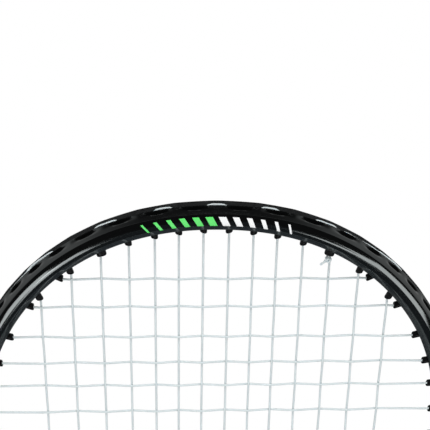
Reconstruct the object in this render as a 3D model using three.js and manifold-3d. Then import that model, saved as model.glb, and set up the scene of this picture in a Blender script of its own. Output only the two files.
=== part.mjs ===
// Crossminton racket, upright on its butt cap, in millimetres.
// The origin is the middle of the butt cap's flat end. +Z runs up the handle and shaft to the tip of the
// head, +X across the head, and Y through the string bed, with the front face towards -Y.
import * as THREE from "three";
import { mergeVertices } from "three/addons/utils/BufferGeometryUtils.js";
import Module from "manifold-3d";

const wasm = await Module();
wasm.setup();

// Head hoop: the clear inside of the oval, and the section of the moulded tube
const HEAD_INNER_HALF_WIDTH = 97;
const HEAD_UPPER_REACH = 100.8;
const HEAD_LOWER_REACH = 135.4;
const HEAD_ROUNDNESS = 2.13;
const TUBE_WIDTH = 9.2;
const TUBE_DEPTH = 11.2;
const CHANNEL_DEPTH = 2.8;
const CHANNEL_FLOOR_WIDTH = 4.4;

// Scallops in the two lips of the string channel
const SCALLOP_LENGTH = 9;
const SCALLOP_DIP = 1.5;
const SCALLOP_BACK_DIP = 0.4;
const SCALLOP_TIP_SPACING = 19.3;
const SCALLOP_CROWN_PITCH = 15.6;
const SCALLOP_SHOULDER_PITCH = 12.4;
const SCALLOP_SIDE_PITCH = 22;
const SCALLOP_CROWN_COUNT = 4;
const SCALLOP_SHOULDER_COUNT = 5;

// String bed
const STRING_DIAMETER = 1.15;
const STRING_CLEARANCE = 0.45;
const LANE_OFFSET = 1.5;
const KNOT_DIAMETER = 2.4;
const KNOT_TAIL_LENGTH = 3.4;
// Places of the main strings, as shares of the inner half width, mirrored left and right
const mainPlaceShares = [0.052, 0.152, 0.25, 0.356, 0.471, 0.595, 0.726];
// Places of the cross strings above and below the widest line, as shares of the reach that way
const crossUpperShares = [0.764, 0.638, 0.498, 0.375, 0.263, 0.134, 0.005];
const crossLowerShares = [0.093, 0.19, 0.284, 0.374, 0.462, 0.549, 0.64, 0.753, 0.849];

// Grommets
const BORE_ACROSS = 1.95;
const BORE_MOUTH_ACROSS = 2.35;
const BARREL_ACROSS = 2.8;
const BARREL_PROTRUSION = 3.1;
const BARREL_TIP_SLANT = 0.55;
const BARREL_LEAN_SHARE = 0.44;
const TIE_OFF_LEAN_SHARE = 0.45;
const TIE_OFF_SPACING = 2;
const BAND_THICKNESS = 0.5;
const BAND_WIDTH = 3.7;
const BAND_OVERHANG = 1.8;

// Throat, shaft and handle
const THROAT_LENGTH = 36;
const THROAT_SOCKET_DEPTH = 22;
const THROAT_WALL = 1.9;
const THROAT_SADDLE_WIDTH = 27;
const SHAFT_DIAMETER = 9.4;
const SHAFT_WALL = 1.3;
const SHAFT_CLEAR_LENGTH = 80;
const SHAFT_INSERTION = 100;
const CONE_LENGTH = 38;
const CONE_TOP_DIAMETER = 12.4;
const HANDLE_WIDTH = 25;
const HANDLE_DEPTH = 22.4;
const HANDLE_LENGTH = 184;
const BUTT_CAP_HEIGHT = 20;
const BUTT_FLOOR = 3;
const BUTT_FLARE = 3.4;
const BUTT_EDGE_RADIUS = 1.6;
const GRIP_THICKNESS = 1.9;
const GRIP_STEP = 0.45;
const GRIP_TURN_PITCH = 16;
const FINISHING_TAPE_HEIGHT = 15;
const FINISHING_TAPE_THICKNESS = 0.6;

// Fits shared by all pieces
const SEAT_GAP = 0.3;
const CUT_OVERRUN = 8;

// Counts of facets
const STRING_SIDES = 4;
const BARREL_SIDES = 6;
const ROUND_SIDES = 20;
const HOOP_SAMPLES = 1440;

const halfWidth = TUBE_WIDTH / 2;
const halfDepth = TUBE_DEPTH / 2;
const stringRadius = STRING_DIAMETER / 2;
const weaveSpacing = STRING_DIAMETER + STRING_CLEARANCE;
const slotHalf = TIE_OFF_SPACING / 2;
const channelFloor = halfWidth - CHANNEL_DEPTH;
const bandBottom = channelFloor + SEAT_GAP;
const bandTop = bandBottom + BAND_THICKNESS;
const stringLevel = bandTop + SEAT_GAP + stringRadius * 1.55;
const mouthLevel = stringLevel + stringRadius * 0.25;

const materials = {
  gloss_black_frame: new THREE.MeshStandardMaterial({ color: 0x0b0c0d, roughness: 0.22, metalness: 0.1 }),
  black_moulding: new THREE.MeshStandardMaterial({ color: 0x17191b, roughness: 0.45 }),
  pale_string: new THREE.MeshStandardMaterial({ color: 0xd6dde0, roughness: 0.35 }),
  shaft_lacquer: new THREE.MeshStandardMaterial({ color: 0x0d0e10, roughness: 0.2, metalness: 0.15 }),
  handle_core: new THREE.MeshStandardMaterial({ color: 0xb79a72, roughness: 0.8 }),
  grip_tape: new THREE.MeshStandardMaterial({ color: 0x1b1c1e, roughness: 0.85 }),
  finishing_tape: new THREE.MeshStandardMaterial({ color: 0x5adf63, roughness: 0.5 }),
};

// A closed skin over rings of points that all have the same count, ended by flat caps, or joined end to
// start.
function skin(rings, endless = false) {
  const sides = rings[0].length;
  const positions = rings.flat().flatMap((p) => [p.x, p.y, p.z]);
  const indices = [];
  const spans = endless ? rings.length : rings.length - 1;
  for (let k = 0; k < spans; k += 1) {
    const here = k * sides;
    const next = ((k + 1) % rings.length) * sides;
    for (let j = 0; j < sides; j += 1) {
      const along = (j + 1) % sides;
      indices.push(here + j, here + along, next + along);
      indices.push(here + j, next + along, next + j);
    }
  }
  if (!endless) {
    const last = (rings.length - 1) * sides;
    for (let j = 1; j < sides - 1; j += 1) {
      indices.push(0, j + 1, j);
      indices.push(last, last + j, last + j + 1);
    }
  }
  const geometry = new THREE.BufferGeometry();
  geometry.setAttribute("position", new THREE.Float32BufferAttribute(positions, 3));
  geometry.setIndex(indices);
  return geometry;
}

// Twice the half-volume sign is enough to know whether a closed skin faces outwards.
function signedVolume(vertices, triangles) {
  const corner = (n) => new THREE.Vector3(vertices[3 * n], vertices[3 * n + 1], vertices[3 * n + 2]);
  let sum = 0;
  for (let i = 0; i < triangles.length; i += 3) {
    const a = corner(triangles[i]);
    sum += a.dot(corner(triangles[i + 1]).cross(corner(triangles[i + 2])));
  }
  return sum;
}

// A closed skin as a solid for joining and cutting, turned to face outwards.
function solidOf(geometry) {
  const bare = geometry.clone();
  bare.deleteAttribute("normal");
  bare.deleteAttribute("uv");
  const merged = mergeVertices(bare);
  const vertices = new Float32Array(merged.attributes.position.array);
  const triangles = new Uint32Array(merged.index.array);
  if (signedVolume(vertices, triangles) < 0) {
    for (let i = 0; i < triangles.length; i += 3) {
      [triangles[i + 1], triangles[i + 2]] = [triangles[i + 2], triangles[i + 1]];
    }
  }
  return new wasm.Manifold(new wasm.Mesh({ numProp: 3, vertProperties: vertices, triVerts: triangles }));
}

// The named mesh of one finished piece.
function piece(name, solid, material) {
  const mesh = solid.getMesh();
  const geometry = new THREE.BufferGeometry();
  geometry.setAttribute("position", new THREE.BufferAttribute(new Float32Array(mesh.vertProperties), 3));
  geometry.setIndex(new THREE.BufferAttribute(new Uint32Array(mesh.triVerts), 1));
  const faceted = geometry.toNonIndexed();
  faceted.computeVertexNormals();
  const made = new THREE.Mesh(faceted, material.clone());
  made.name = name;
  return made;
}

function joined(solids) {
  return solids.reduce((whole, solid) => whole.add(solid));
}

// Heights up the racket, worked out from the handle upwards
const coreBottom = BUTT_FLOOR + SEAT_GAP;
const coreTop = coreBottom + HANDLE_LENGTH;
const coneBottom = coreTop + SEAT_GAP;
const coneTop = coneBottom + CONE_LENGTH;
const throatBottom = coneTop + SHAFT_CLEAR_LENGTH;
const hoopBottom = throatBottom + THROAT_LENGTH + TUBE_WIDTH / 2;
const widestHeight = hoopBottom + HEAD_LOWER_REACH + TUBE_WIDTH / 2;

// The head hoop's middle line: two superellipse halves that meet at the widest line.
// It is sampled once by angle and then read by distance, from the bottom centre up the +X side and over the
// tip.
class Hoop {
  constructor() {
    this.places = [];
    let run = 0;
    for (let k = 0; k <= HOOP_SAMPLES; k += 1) {
      const angle = (k / HOOP_SAMPLES) * Math.PI * 2 - Math.PI / 2;
      const reach = Math.sin(angle) > 0 ? HEAD_UPPER_REACH : HEAD_LOWER_REACH;
      const x = Hoop.bulge(Math.cos(angle)) * (HEAD_INNER_HALF_WIDTH + halfWidth);
      const z = Hoop.bulge(Math.sin(angle)) * (reach + halfWidth) + widestHeight;
      const before = this.places.at(-1);
      run += before ? Math.hypot(x - before.x, z - before.z) : 0;
      this.places.push({ run, x, z });
    }
    this.length = run;
  }

  static bulge(value) {
    return Math.sign(value) * Math.abs(value) ** (2 / HEAD_ROUNDNESS);
  }

  // The point of the middle line at a distance along it
  point(run) {
    const wrapped = ((run % this.length) + this.length) % this.length;
    let low = 0;
    let high = this.places.length - 1;
    while (high - low > 1) {
      const middle = (low + high) >> 1;
      if (this.places[middle].run > wrapped) high = middle;
      else low = middle;
    }
    const a = this.places[low];
    const b = this.places[high];
    const share = (wrapped - a.run) / (b.run - a.run);
    return new THREE.Vector3(a.x + (b.x - a.x) * share, 0, a.z + (b.z - a.z) * share);
  }

  // Direction of travel and the outward direction at a distance along the middle line
  axes(run) {
    const reach = halfWidth / 4;
    const along = this.point(run + reach).sub(this.point(run - reach)).normalize();
    return { along, outward: new THREE.Vector3(along.z, 0, -along.x) };
  }

  // A point of the tube: outward from the middle line by level, and to the back by lane
  place(run, level, lane = 0) {
    const p = this.point(run).addScaledVector(this.axes(run).outward, level);
    p.y += lane;
    return p;
  }
}

const hoop = new Hoop();
const tipRun = hoop.length / 2;

// Places of the scallops along the hoop, from the tip down each side to the throat saddle.
function scallopRuns() {
  const runs = [];
  let away = SCALLOP_TIP_SPACING / 2;
  while (away < tipRun - THROAT_SADDLE_WIDTH) {
    runs.push(tipRun - away, tipRun + away);
    const placed = runs.length / 2;
    if (placed < SCALLOP_CROWN_COUNT) away += SCALLOP_CROWN_PITCH;
    else if (placed < SCALLOP_CROWN_COUNT + SCALLOP_SHOULDER_COUNT) away += SCALLOP_SHOULDER_PITCH;
    else away += SCALLOP_SIDE_PITCH;
  }
  return runs.sort((a, b) => a - b);
}

// Half of the tube's section, from the inner face round the front to the lip, as shares of the half sizes
const sectionShares = [
  [-1, 0.38],
  [-0.52, 0.94],
  [0, 1],
  [0.5, 0.94],
  [1, 0.47],
];

// The section's ring at one place on the hoop. A dip lowers the front lip fully and the back lip a little,
// and a filled section has no channel.
function sectionRing(run, dipShare, swell = 0, filled = false) {
  const half = (side, dip) => {
    const points = sectionShares.map(([u, v]) => [u * (halfWidth + swell), side * v * (halfDepth + swell)]);
    points[points.length - 1][0] -= dip * dipShare;
    if (!filled) points.push([channelFloor, (side * CHANNEL_FLOOR_WIDTH) / 2]);
    return points;
  };
  const ring = [...half(1, SCALLOP_BACK_DIP), ...half(-1, SCALLOP_DIP).reverse()];
  return ring.map(([u, v]) => hoop.place(run, u, v));
}

// Stations of the hoop in order: each scallop has its two ends and its lowest place, and the throat is
// plain.
function hoopStations() {
  const stations = [{ run: 0, dipShare: 0 }];
  for (const run of scallopRuns()) {
    stations.push({ run: run - SCALLOP_LENGTH / 2, dipShare: 0 });
    stations.push({ run, dipShare: 1 });
    stations.push({ run: run + SCALLOP_LENGTH / 2, dipShare: 0 });
  }
  const saddleHalf = THROAT_SADDLE_WIDTH / 2;
  for (const away of [saddleHalf / 2, saddleHalf]) {
    stations.push({ run: away, dipShare: 0 });
    stations.push({ run: hoop.length - away, dipShare: 0 });
  }
  return stations.sort((a, b) => a.run - b.run);
}

const stations = hoopStations();

// Wide barrels take two strings side by side, so a string can be tied off beside the one that is held there.
// The sign says on which side, along the hoop, the held string lies: always the side towards the middle.
const wideBarrels = { top2: -1, top11: 1, bottom1: 1, bottom3: 1, bottom10: -1, bottom12: -1 };

// Holes of the string pattern. Each is one barrel's place: where it sits on the hoop and which way it leans.
const holes = new Map();

function barrelAxes(run, pull, leanShare) {
  const { along, outward } = hoop.axes(run);
  const lean = outward.angleTo(pull) * leanShare;
  const side = Math.sign(along.dot(pull));
  const axis = outward.clone().multiplyScalar(Math.cos(lean)).addScaledVector(along, side * Math.sin(lean));
  const across = along.clone().addScaledVector(axis, -along.dot(axis)).normalize();
  const leanRun = axis.dot(along) / axis.dot(outward);
  return { along, outward, axis, across, leanRun };
}

// A point on a barrel's line at a level of the tube, moved sideways within the barrel
function barrelPoint(hole, level, sideways = 0) {
  const reach = level / hole.axis.dot(hole.outward);
  return hoop.point(hole.run).addScaledVector(hole.axis, reach).addScaledVector(hole.across, sideways);
}

const tipLevel = -halfWidth - BARREL_PROTRUSION;
const bendLevel = tipLevel - stringRadius * 0.6;

// Finds the place on the hoop, between two runs, where the string leaves the barrel's tip at its own line.
function addHole(name, from, to, pull, measure, wanted) {
  const side = wideBarrels[name] ?? 0;
  const own = side * slotHalf;
  const leanShare = side ? TIE_OFF_LEAN_SHARE : BARREL_LEAN_SHARE;
  const holeAt = (run) => ({ run, own, pull, wide: Math.abs(own), ...barrelAxes(run, pull, leanShare) });
  const miss = (run) => measure(barrelPoint(holeAt(run), bendLevel, own)) - wanted;
  let low = from;
  let high = to;
  const rising = miss(high) > miss(low);
  for (let k = 0; k < 40; k += 1) {
    const middle = (low + high) / 2;
    if (miss(middle) > 0 === rising) high = middle;
    else low = middle;
  }
  holes.set(name, holeAt((low + high) / 2));
}

const mainPlaces = [...mainPlaceShares.map((share) => -share).reverse(), ...mainPlaceShares]
  .map((share) => share * HEAD_INNER_HALF_WIDTH);
const crossPlaces = [
  ...crossUpperShares.map((share) => widestHeight + share * HEAD_UPPER_REACH),
  ...crossLowerShares.map((share) => widestHeight - share * HEAD_LOWER_REACH),
];

const up = new THREE.Vector3(0, 0, 1);
const right = new THREE.Vector3(1, 0, 0);
const quarter = hoop.length / 4;
mainPlaces.forEach((x, i) => {
  addHole(`top${i}`, tipRun - quarter, tipRun + quarter, up, (p) => p.x, x);
  addHole(`bottom${i}`, -quarter, quarter, up.clone().negate(), (p) => p.x, x);
});
crossPlaces.forEach((z, j) => {
  addHole(`right${j}`, 0, tipRun, right, (p) => p.z, z);
  addHole(`left${j}`, tipRun, hoop.length, right.clone().negate(), (p) => p.z, z);
});
for (const hole of holes.values()) hole.run = (hole.run + hoop.length) % hoop.length;

// A six-sided ring round a barrel's line, drawn out sideways where the barrel is wide. A slanted ring is
// longer on the side that its string bends away from.
function barrelRing(hole, level, across, slant = 0) {
  const radius = across / 2 / Math.cos(Math.PI / BARREL_SIDES);
  const long = Math.sign(hole.across.dot(hole.pull)) || 1;
  const ring = [];
  for (let k = 0; k < BARREL_SIDES; k += 1) {
    const angle = (k / BARREL_SIDES) * Math.PI * 2;
    const side = Math.cos(angle);
    const point = barrelPoint(hole, level, side * radius + Math.sign(side) * hole.wide);
    point.y += Math.sin(angle) * radius;
    ring.push(point.addScaledVector(hole.axis, -slant * side * long));
  }
  return ring;
}

function barrelPrism(hole, bottom, top, across, slant = 0) {
  return solidOf(skin([barrelRing(hole, bottom, across, slant), barrelRing(hole, top, across)]));
}

// The string's way through a barrel: it widens evenly from the tip to the mouth, and is cut clear past both.
function barrelBore(hole) {
  const widening = (BORE_MOUTH_ACROSS - BORE_ACROSS) / (bandTop - tipLevel);
  return solidOf(skin([
    barrelRing(hole, tipLevel - CUT_OVERRUN, BORE_ACROSS - widening * CUT_OVERRUN),
    barrelRing(hole, bandTop + CUT_OVERRUN, BORE_MOUTH_ACROSS + widening * CUT_OVERRUN),
  ]));
}

// The hoop with every string hole drilled through it
function headFrame() {
  const drilled = [...holes.values()].map((hole) =>
    barrelPrism(hole, -halfWidth - CUT_OVERRUN, halfWidth + CUT_OVERRUN, BARREL_ACROSS + SEAT_GAP * 2));
  const blank = skin(stations.map(({ run, dipShare }) => sectionRing(run, dipShare)), true);
  return solidOf(blank).subtract(joined(drilled));
}

// A grommet strip: a thin band on the channel's floor with one barrel for each hole it serves.
// Between its ends the band bends where the channel's floor does, so that it lies evenly on it.
function grommetStrip(names) {
  const served = names.map((name) => holes.get(name)).sort((a, b) => a.run - b.run);
  const mouths = served.map((hole) => hole.run + hole.leanRun * bandTop);
  const overhang = BAND_OVERHANG + served[0].wide;
  const first = mouths[0] - overhang;
  const last = mouths.at(-1) + overhang;
  const inside = (run) => run > first + BAND_THICKNESS && run < last - BAND_THICKNESS;
  const bends = stations.map(({ run }) => run).filter(inside);
  const rings = [first, ...bends, last].map((run) => [
    hoop.place(run, bandBottom, -BAND_WIDTH / 2),
    hoop.place(run, bandTop, -BAND_WIDTH / 2),
    hoop.place(run, bandTop, BAND_WIDTH / 2),
    hoop.place(run, bandBottom, BAND_WIDTH / 2),
  ]);
  const middle = (bandBottom + bandTop) / 2;
  const barrels = served.map((hole) =>
    barrelPrism(hole, tipLevel, middle, BARREL_ACROSS, hole.wide ? 0 : BARREL_TIP_SLANT));
  return solidOf(skin(rings)).add(joined(barrels)).subtract(joined(served.map(barrelBore)));
}

// A string tube along a polyline, with its rings square to the mean of the two directions at each bend
function stringTube(points) {
  const rings = [];
  let side = null;
  points.forEach((point, k) => {
    const before = points[Math.max(0, k - 1)];
    const after = points[Math.min(points.length - 1, k + 1)];
    const into = point.clone().sub(before).normalize();
    const out = after.clone().sub(point).normalize();
    const along = into.add(out).normalize();
    if (!side) side = new THREE.Vector3(0, 1, 0);
    side = side.clone().addScaledVector(along, -side.dot(along)).normalize();
    const other = along.clone().cross(side);
    const ring = [];
    for (let j = 0; j < STRING_SIDES; j += 1) {
      const angle = (j / STRING_SIDES) * Math.PI * 2;
      ring.push(
        point
          .clone()
          .addScaledVector(side, Math.cos(angle) * stringRadius)
          .addScaledVector(other, Math.sin(angle) * stringRadius),
      );
    }
    rings.push(ring);
  });
  return skin(rings);
}

// How far two strings stand apart where they cross is shared by how far each has left its barrel's tip.
const settleLength = STRING_DIAMETER * 3;
function weaveOffsets(mainTips, crossTips, x, z) {
  const clear = (value, a, b) => {
    const nearest = Math.min(Math.abs(value - a), Math.abs(value - b));
    return Math.min(1, (nearest + stringRadius) / settleLength);
  };
  const mainShare = clear(z, mainTips[0].z, mainTips[1].z);
  const crossShare = clear(x, crossTips[0].x, crossTips[1].x);
  const main = (weaveSpacing * mainShare) / (mainShare + crossShare);
  return { main, cross: weaveSpacing - main };
}

const tipOf = (name) => barrelPoint(holes.get(name), bendLevel, holes.get(name).own);
const mainTips = mainPlaces.map((_, i) => [tipOf(`top${i}`), tipOf(`bottom${i}`)]);
const crossTips = crossPlaces.map((_, j) => [tipOf(`left${j}`), tipOf(`right${j}`)]);

// Every place where a main and a cross string meet, and which one passes in front
const crossings = [];
mainPlaces.forEach((x, i) => {
  crossPlaces.forEach((z, j) => {
    const withinMain = z < mainTips[i][0].z && z > mainTips[i][1].z;
    const withinCross = x > crossTips[j][0].x && x < crossTips[j][1].x;
    if (!withinMain || !withinCross) return;
    const front = (i + j) % 2 ? 1 : -1;
    const { main, cross } = weaveOffsets(mainTips[i], crossTips[j], x, z);
    crossings.push({
      i,
      j,
      main: new THREE.Vector3(x, front * main, z),
      cross: new THREE.Vector3(x, -front * cross, z),
    });
  });
});

// The points of a string from a barrel's tip out to the channel, where it turns along the hoop
function passOut(name, sideways) {
  const hole = holes.get(name);
  return [barrelPoint(hole, bendLevel, sideways), barrelPoint(hole, mouthLevel, sideways)];
}

// The distance along the hoop of a barrel's mouth at the level of the strings in the channel
function mouthRun(name, sideways = 0) {
  const hole = holes.get(name);
  return hole.run + hole.leanRun * stringLevel + sideways;
}

// The shorter way round the hoop from one run to another, with its sign
function stepBetween(start, end) {
  const step = end - start;
  return Math.abs(step) > tipRun ? step - Math.sign(step) * hoop.length : step;
}

// The mouths of the other kind of string that lie between two mouths, in the order in which a string meets
// them
function passed(from, to, rows) {
  const step = stepBetween(mouthRun(from), mouthRun(to));
  const found = [];
  for (const name of holes.keys()) {
    const away = stepBetween(mouthRun(from), mouthRun(name));
    const within = Math.sign(away) === Math.sign(step) && Math.abs(away) < Math.abs(step);
    if (within && rows.some((row) => name.startsWith(row))) found.push([Math.abs(away), name]);
  }
  return found.sort((a, b) => a[0] - b[0]).map(([, name]) => name);
}

// A run of string in the channel from one mouth to another, kept to one side of each mouth that it passes
function channelRun(from, to, rows, lane, fromSide = holes.get(from).own, toSide = holes.get(to).own) {
  const heading = Math.sign(stepBetween(mouthRun(from), mouthRun(to)));
  const points = passOut(from, fromSide);
  for (const name of passed(from, to, rows)) {
    const reach = STRING_DIAMETER * 1.3 + holes.get(name).wide;
    points.push(hoop.place(mouthRun(name) - heading * reach, stringLevel, lane));
    points.push(hoop.place(mouthRun(name) + heading * reach, stringLevel, lane));
  }
  return [...points, ...passOut(to, toSide).reverse()];
}

const crossRows = ["left", "right"];
const mainRows = ["top", "bottom"];

// The bed stretch of one main or cross string, between its two barrels' tips
const mainStretch = (i) => crossings.filter((c) => c.i === i).sort((a, b) => a.j - b.j).map((c) => c.main);
const crossStretch = (j) => crossings.filter((c) => c.j === j).sort((a, b) => a.i - b.i).map((c) => c.cross);

// How a string ends beside a held string: a knot below its own side of the wide barrel, on the face of the
// bed that the held string weaves away from, and a short tail that is cut off past the held string.
function tieOff(name, held) {
  const hole = holes.get(name);
  const inwards = hole.pull.clone().negate();
  const centre = barrelPoint(hole, bendLevel, hole.own);
  const sideways = barrelPoint(hole, bendLevel, -hole.own).sub(centre);
  sideways.addScaledVector(inwards, -sideways.dot(inwards)).normalize();
  const nearest = held.reduce((a, b) => (centre.distanceTo(a) < centre.distanceTo(b) ? a : b));
  const face = -Math.sign(nearest.y);
  const place = (side, depth, inward) => {
    const point = centre.clone().addScaledVector(sideways, side).addScaledVector(inwards, inward);
    return point.setY(face * depth);
  };
  const side = TIE_OFF_SPACING * 0.55;
  const depth = KNOT_DIAMETER * 0.82;
  const inward = KNOT_DIAMETER * 0.8;
  const knot = place(side, depth, inward);
  const tail = place(
    side - KNOT_TAIL_LENGTH * 0.76, depth + KNOT_TAIL_LENGTH * 0.2, inward + KNOT_TAIL_LENGTH * 0.5);
  const ball = new THREE.IcosahedronGeometry(KNOT_DIAMETER / 2, 1);
  ball.translate(knot.x, knot.y, knot.z);
  return { points: [tail, knot], ball: solidOf(ball) };
}

// The least room that a string leaves between stretches of itself that lie further along than a
// few diameters, measured between points set along its middle line.
function leastGapToItself(points) {
  const spacing = stringRadius;
  const samples = [];
  let run = 0;
  points.slice(1).forEach((end, k) => {
    const start = points[k];
    const length = start.distanceTo(end);
    const count = Math.max(1, Math.round(length / spacing));
    for (let m = 0; m < count; m += 1) {
      samples.push({ at: start.clone().lerp(end, m / count), run: run + (length * m) / count });
    }
    run += length;
  });
  let least = Infinity;
  samples.forEach((a, k) => {
    for (let m = k + 1; m < samples.length; m += 1) {
      const b = samples[m];
      const apart = b.run - a.run > STRING_DIAMETER * 4;
      if (apart) least = Math.min(least, a.at.distanceTo(b.at));
    }
  });
  return least - STRING_DIAMETER;
}

function stringOf(name, points, ties) {
  console.log(`${name}: least gap to itself ${leastGapToItself(points).toFixed(2)} mm`);
  return ties.reduce((whole, tie) => whole.add(tie.ball), solidOf(stringTube(points)));
}

// The main string: one length, tied at both lower corners, that goes up and down from left to right.
function mainString() {
  const last = mainPlaces.length - 1;
  const startTie = tieOff("bottom1", mainStretch(1));
  const endTie = tieOff(`bottom${last - 1}`, mainStretch(last - 1));
  const points = [...startTie.points];
  points.push(...channelRun("bottom1", "bottom0", crossRows, LANE_OFFSET, -holes.get("bottom1").own));
  for (let i = 0; i <= last; i += 1) {
    const rises = i % 2 === 0;
    const stretch = mainStretch(i);
    points.push(...(rises ? stretch.reverse() : stretch));
    const row = rises ? "top" : "bottom";
    if (i < last) points.push(...channelRun(`${row}${i}`, `${row}${i + 1}`, crossRows, LANE_OFFSET));
  }
  const endHole = `bottom${last - 1}`;
  points.push(...channelRun(`bottom${last}`, endHole, crossRows, LANE_OFFSET, 0, -holes.get(endHole).own));
  points.push(...endTie.points.reverse());
  return stringOf("main string", points, [startTie, endTie]);
}

// The cross string: one length, tied at the upper right, that weaves from side to side down to the lower
// right.
function crossString() {
  const last = crossPlaces.length - 1;
  const startTie = tieOff("top11", mainStretch(11));
  const endTie = tieOff("bottom10", mainStretch(10));
  const points = [...startTie.points];
  points.push(...channelRun("top11", "right0", mainRows, -LANE_OFFSET, -holes.get("top11").own));
  for (let j = 0; j <= last; j += 1) {
    const leftwards = j % 2 === 0;
    const stretch = crossStretch(j);
    points.push(...(leftwards ? stretch.reverse() : stretch));
    const row = leftwards ? "left" : "right";
    if (j < last) points.push(...channelRun(`${row}${j}`, `${row}${j + 1}`, mainRows, -LANE_OFFSET));
  }
  const endSide = -holes.get("bottom10").own;
  points.push(...channelRun(`right${last}`, "bottom10", mainRows, -LANE_OFFSET, 0, endSide));
  points.push(...endTie.points.reverse());
  return stringOf("cross string", points, [startTie, endTie]);
}

// Eight-sided ring of the handle, with each corner of the block cut back by a share of the depth
const OCTAGON_CORNER_SHARE = 0.27;
function octagon(width, depth) {
  const cut = depth * OCTAGON_CORNER_SHARE;
  const x = width / 2;
  const y = depth / 2;
  return [
    [x, -y + cut], [x, y - cut], [x - cut, y], [-x + cut, y],
    [-x, y - cut], [-x, -y + cut], [-x + cut, -y], [x - cut, -y],
  ].map(([a, b]) => new THREE.Vector2(a, b));
}

const octagonRing = (width, depth, z) => octagon(width, depth).map((p) => new THREE.Vector3(p.x, p.y, z));

function octagonPrism(width, depth, bottom, top) {
  return solidOf(skin([octagonRing(width, depth, bottom), octagonRing(width, depth, top)]));
}

// A solid of revolution about the racket's axis from [radius, height] pairs
function turned(profile, sides = ROUND_SIDES) {
  const points = profile.map(([radius, height]) => new THREE.Vector2(radius, height));
  const geometry = new THREE.LatheGeometry([...points, points[0].clone()], sides);
  geometry.rotateX(Math.PI / 2);
  return solidOf(geometry);
}

const boreRadius = SHAFT_DIAMETER / 2 + SEAT_GAP;

function shaftTube() {
  const outer = SHAFT_DIAMETER / 2;
  const inner = outer - SHAFT_WALL;
  const bottom = coneBottom - SHAFT_INSERTION;
  const top = throatBottom + THROAT_SOCKET_DEPTH;
  return turned([[inner, bottom], [outer, bottom], [outer, top], [inner, top]]);
}

// Ring of the throat moulding: a superellipse, wide across the head and flat through it
function throatRing(width, depth, z) {
  const ring = [];
  for (let k = 0; k < ROUND_SIDES; k += 1) {
    const angle = (k / ROUND_SIDES) * Math.PI * 2;
    const x = (Hoop.bulge(Math.cos(angle)) * width) / 2;
    const y = (Hoop.bulge(Math.sin(angle)) * depth) / 2;
    ring.push(new THREE.Vector3(x, y, z));
  }
  return ring;
}

// The throat joint: a socket for the shaft that spreads into a saddle, with a cheek on each face of the
// hoop.
function throatJoint() {
  const neck = SHAFT_DIAMETER + SEAT_GAP * 2 + THROAT_WALL * 2;
  const cheekDepth = TUBE_DEPTH + SEAT_GAP * 2 + THROAT_WALL * 2;
  const saddle = hoopBottom - halfWidth;
  const rise = saddle - throatBottom;
  const body = solidOf(skin([
    throatRing(neck, neck, throatBottom),
    throatRing(neck * 1.03, neck * 1.02, throatBottom + rise * 0.45),
    throatRing((neck + THROAT_SADDLE_WIDTH / 2) * 0.68, (neck + cheekDepth) / 2, throatBottom + rise * 0.7),
    throatRing(THROAT_SADDLE_WIDTH * 0.86, cheekDepth * 0.97, throatBottom + rise * 0.9),
    throatRing(THROAT_SADDLE_WIDTH, cheekDepth, saddle + halfWidth * 0.3),
    throatRing(THROAT_SADDLE_WIDTH * 0.8, cheekDepth, hoopBottom),
    throatRing(THROAT_SADDLE_WIDTH * 0.45, cheekDepth * 0.97, hoopBottom + halfWidth * 0.45),
  ]));
  const rings = [];
  const reach = THROAT_SADDLE_WIDTH;
  const steps = 12;
  for (let k = 0; k <= steps; k += 1) {
    rings.push(sectionRing(-reach + (2 * reach * k) / steps, 0, SEAT_GAP, true));
  }
  const seat = solidOf(skin(rings));
  const socket = turned([
    [0, throatBottom - CUT_OVERRUN],
    [boreRadius, throatBottom - CUT_OVERRUN],
    [boreRadius, throatBottom + THROAT_SOCKET_DEPTH + SEAT_GAP],
    [0, throatBottom + THROAT_SOCKET_DEPTH + SEAT_GAP],
  ]);
  return body.subtract(seat).subtract(socket);
}

// The handle's core: an eight-sided block bored for the shaft
function handleCore() {
  const outline = new THREE.Shape(octagon(HANDLE_WIDTH, HANDLE_DEPTH));
  const bore = new THREE.Path().absarc(0, 0, boreRadius, 0, Math.PI * 2, true);
  outline.holes.push(bore);
  const cutOff = { depth: HANDLE_LENGTH, bevelEnabled: false, curveSegments: ROUND_SIDES / 2 };
  const block = new THREE.ExtrudeGeometry(outline, cutOff);
  block.translate(0, 0, coreBottom);
  return solidOf(block);
}

const gripWidth = HANDLE_WIDTH + 2 * (SEAT_GAP + GRIP_THICKNESS);
const gripDepth = HANDLE_DEPTH + 2 * (SEAT_GAP + GRIP_THICKNESS);
const gripBottom = coreBottom + BUTT_CAP_HEIGHT - BUTT_FLOOR;

// The cone that leads the handle into the shaft, hollow over the shaft
function handleCone() {
  const base = gripDepth / 2;
  const tip = CONE_TOP_DIAMETER / 2;
  const waist = tip + (base - tip) * 0.42;
  return turned([
    [boreRadius, coneBottom],
    [base, coneBottom],
    [base, coneBottom + CONE_LENGTH * 0.08],
    [waist, coneBottom + CONE_LENGTH * 0.5],
    [tip, coneTop],
    [boreRadius, coneTop],
  ]);
}

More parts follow.
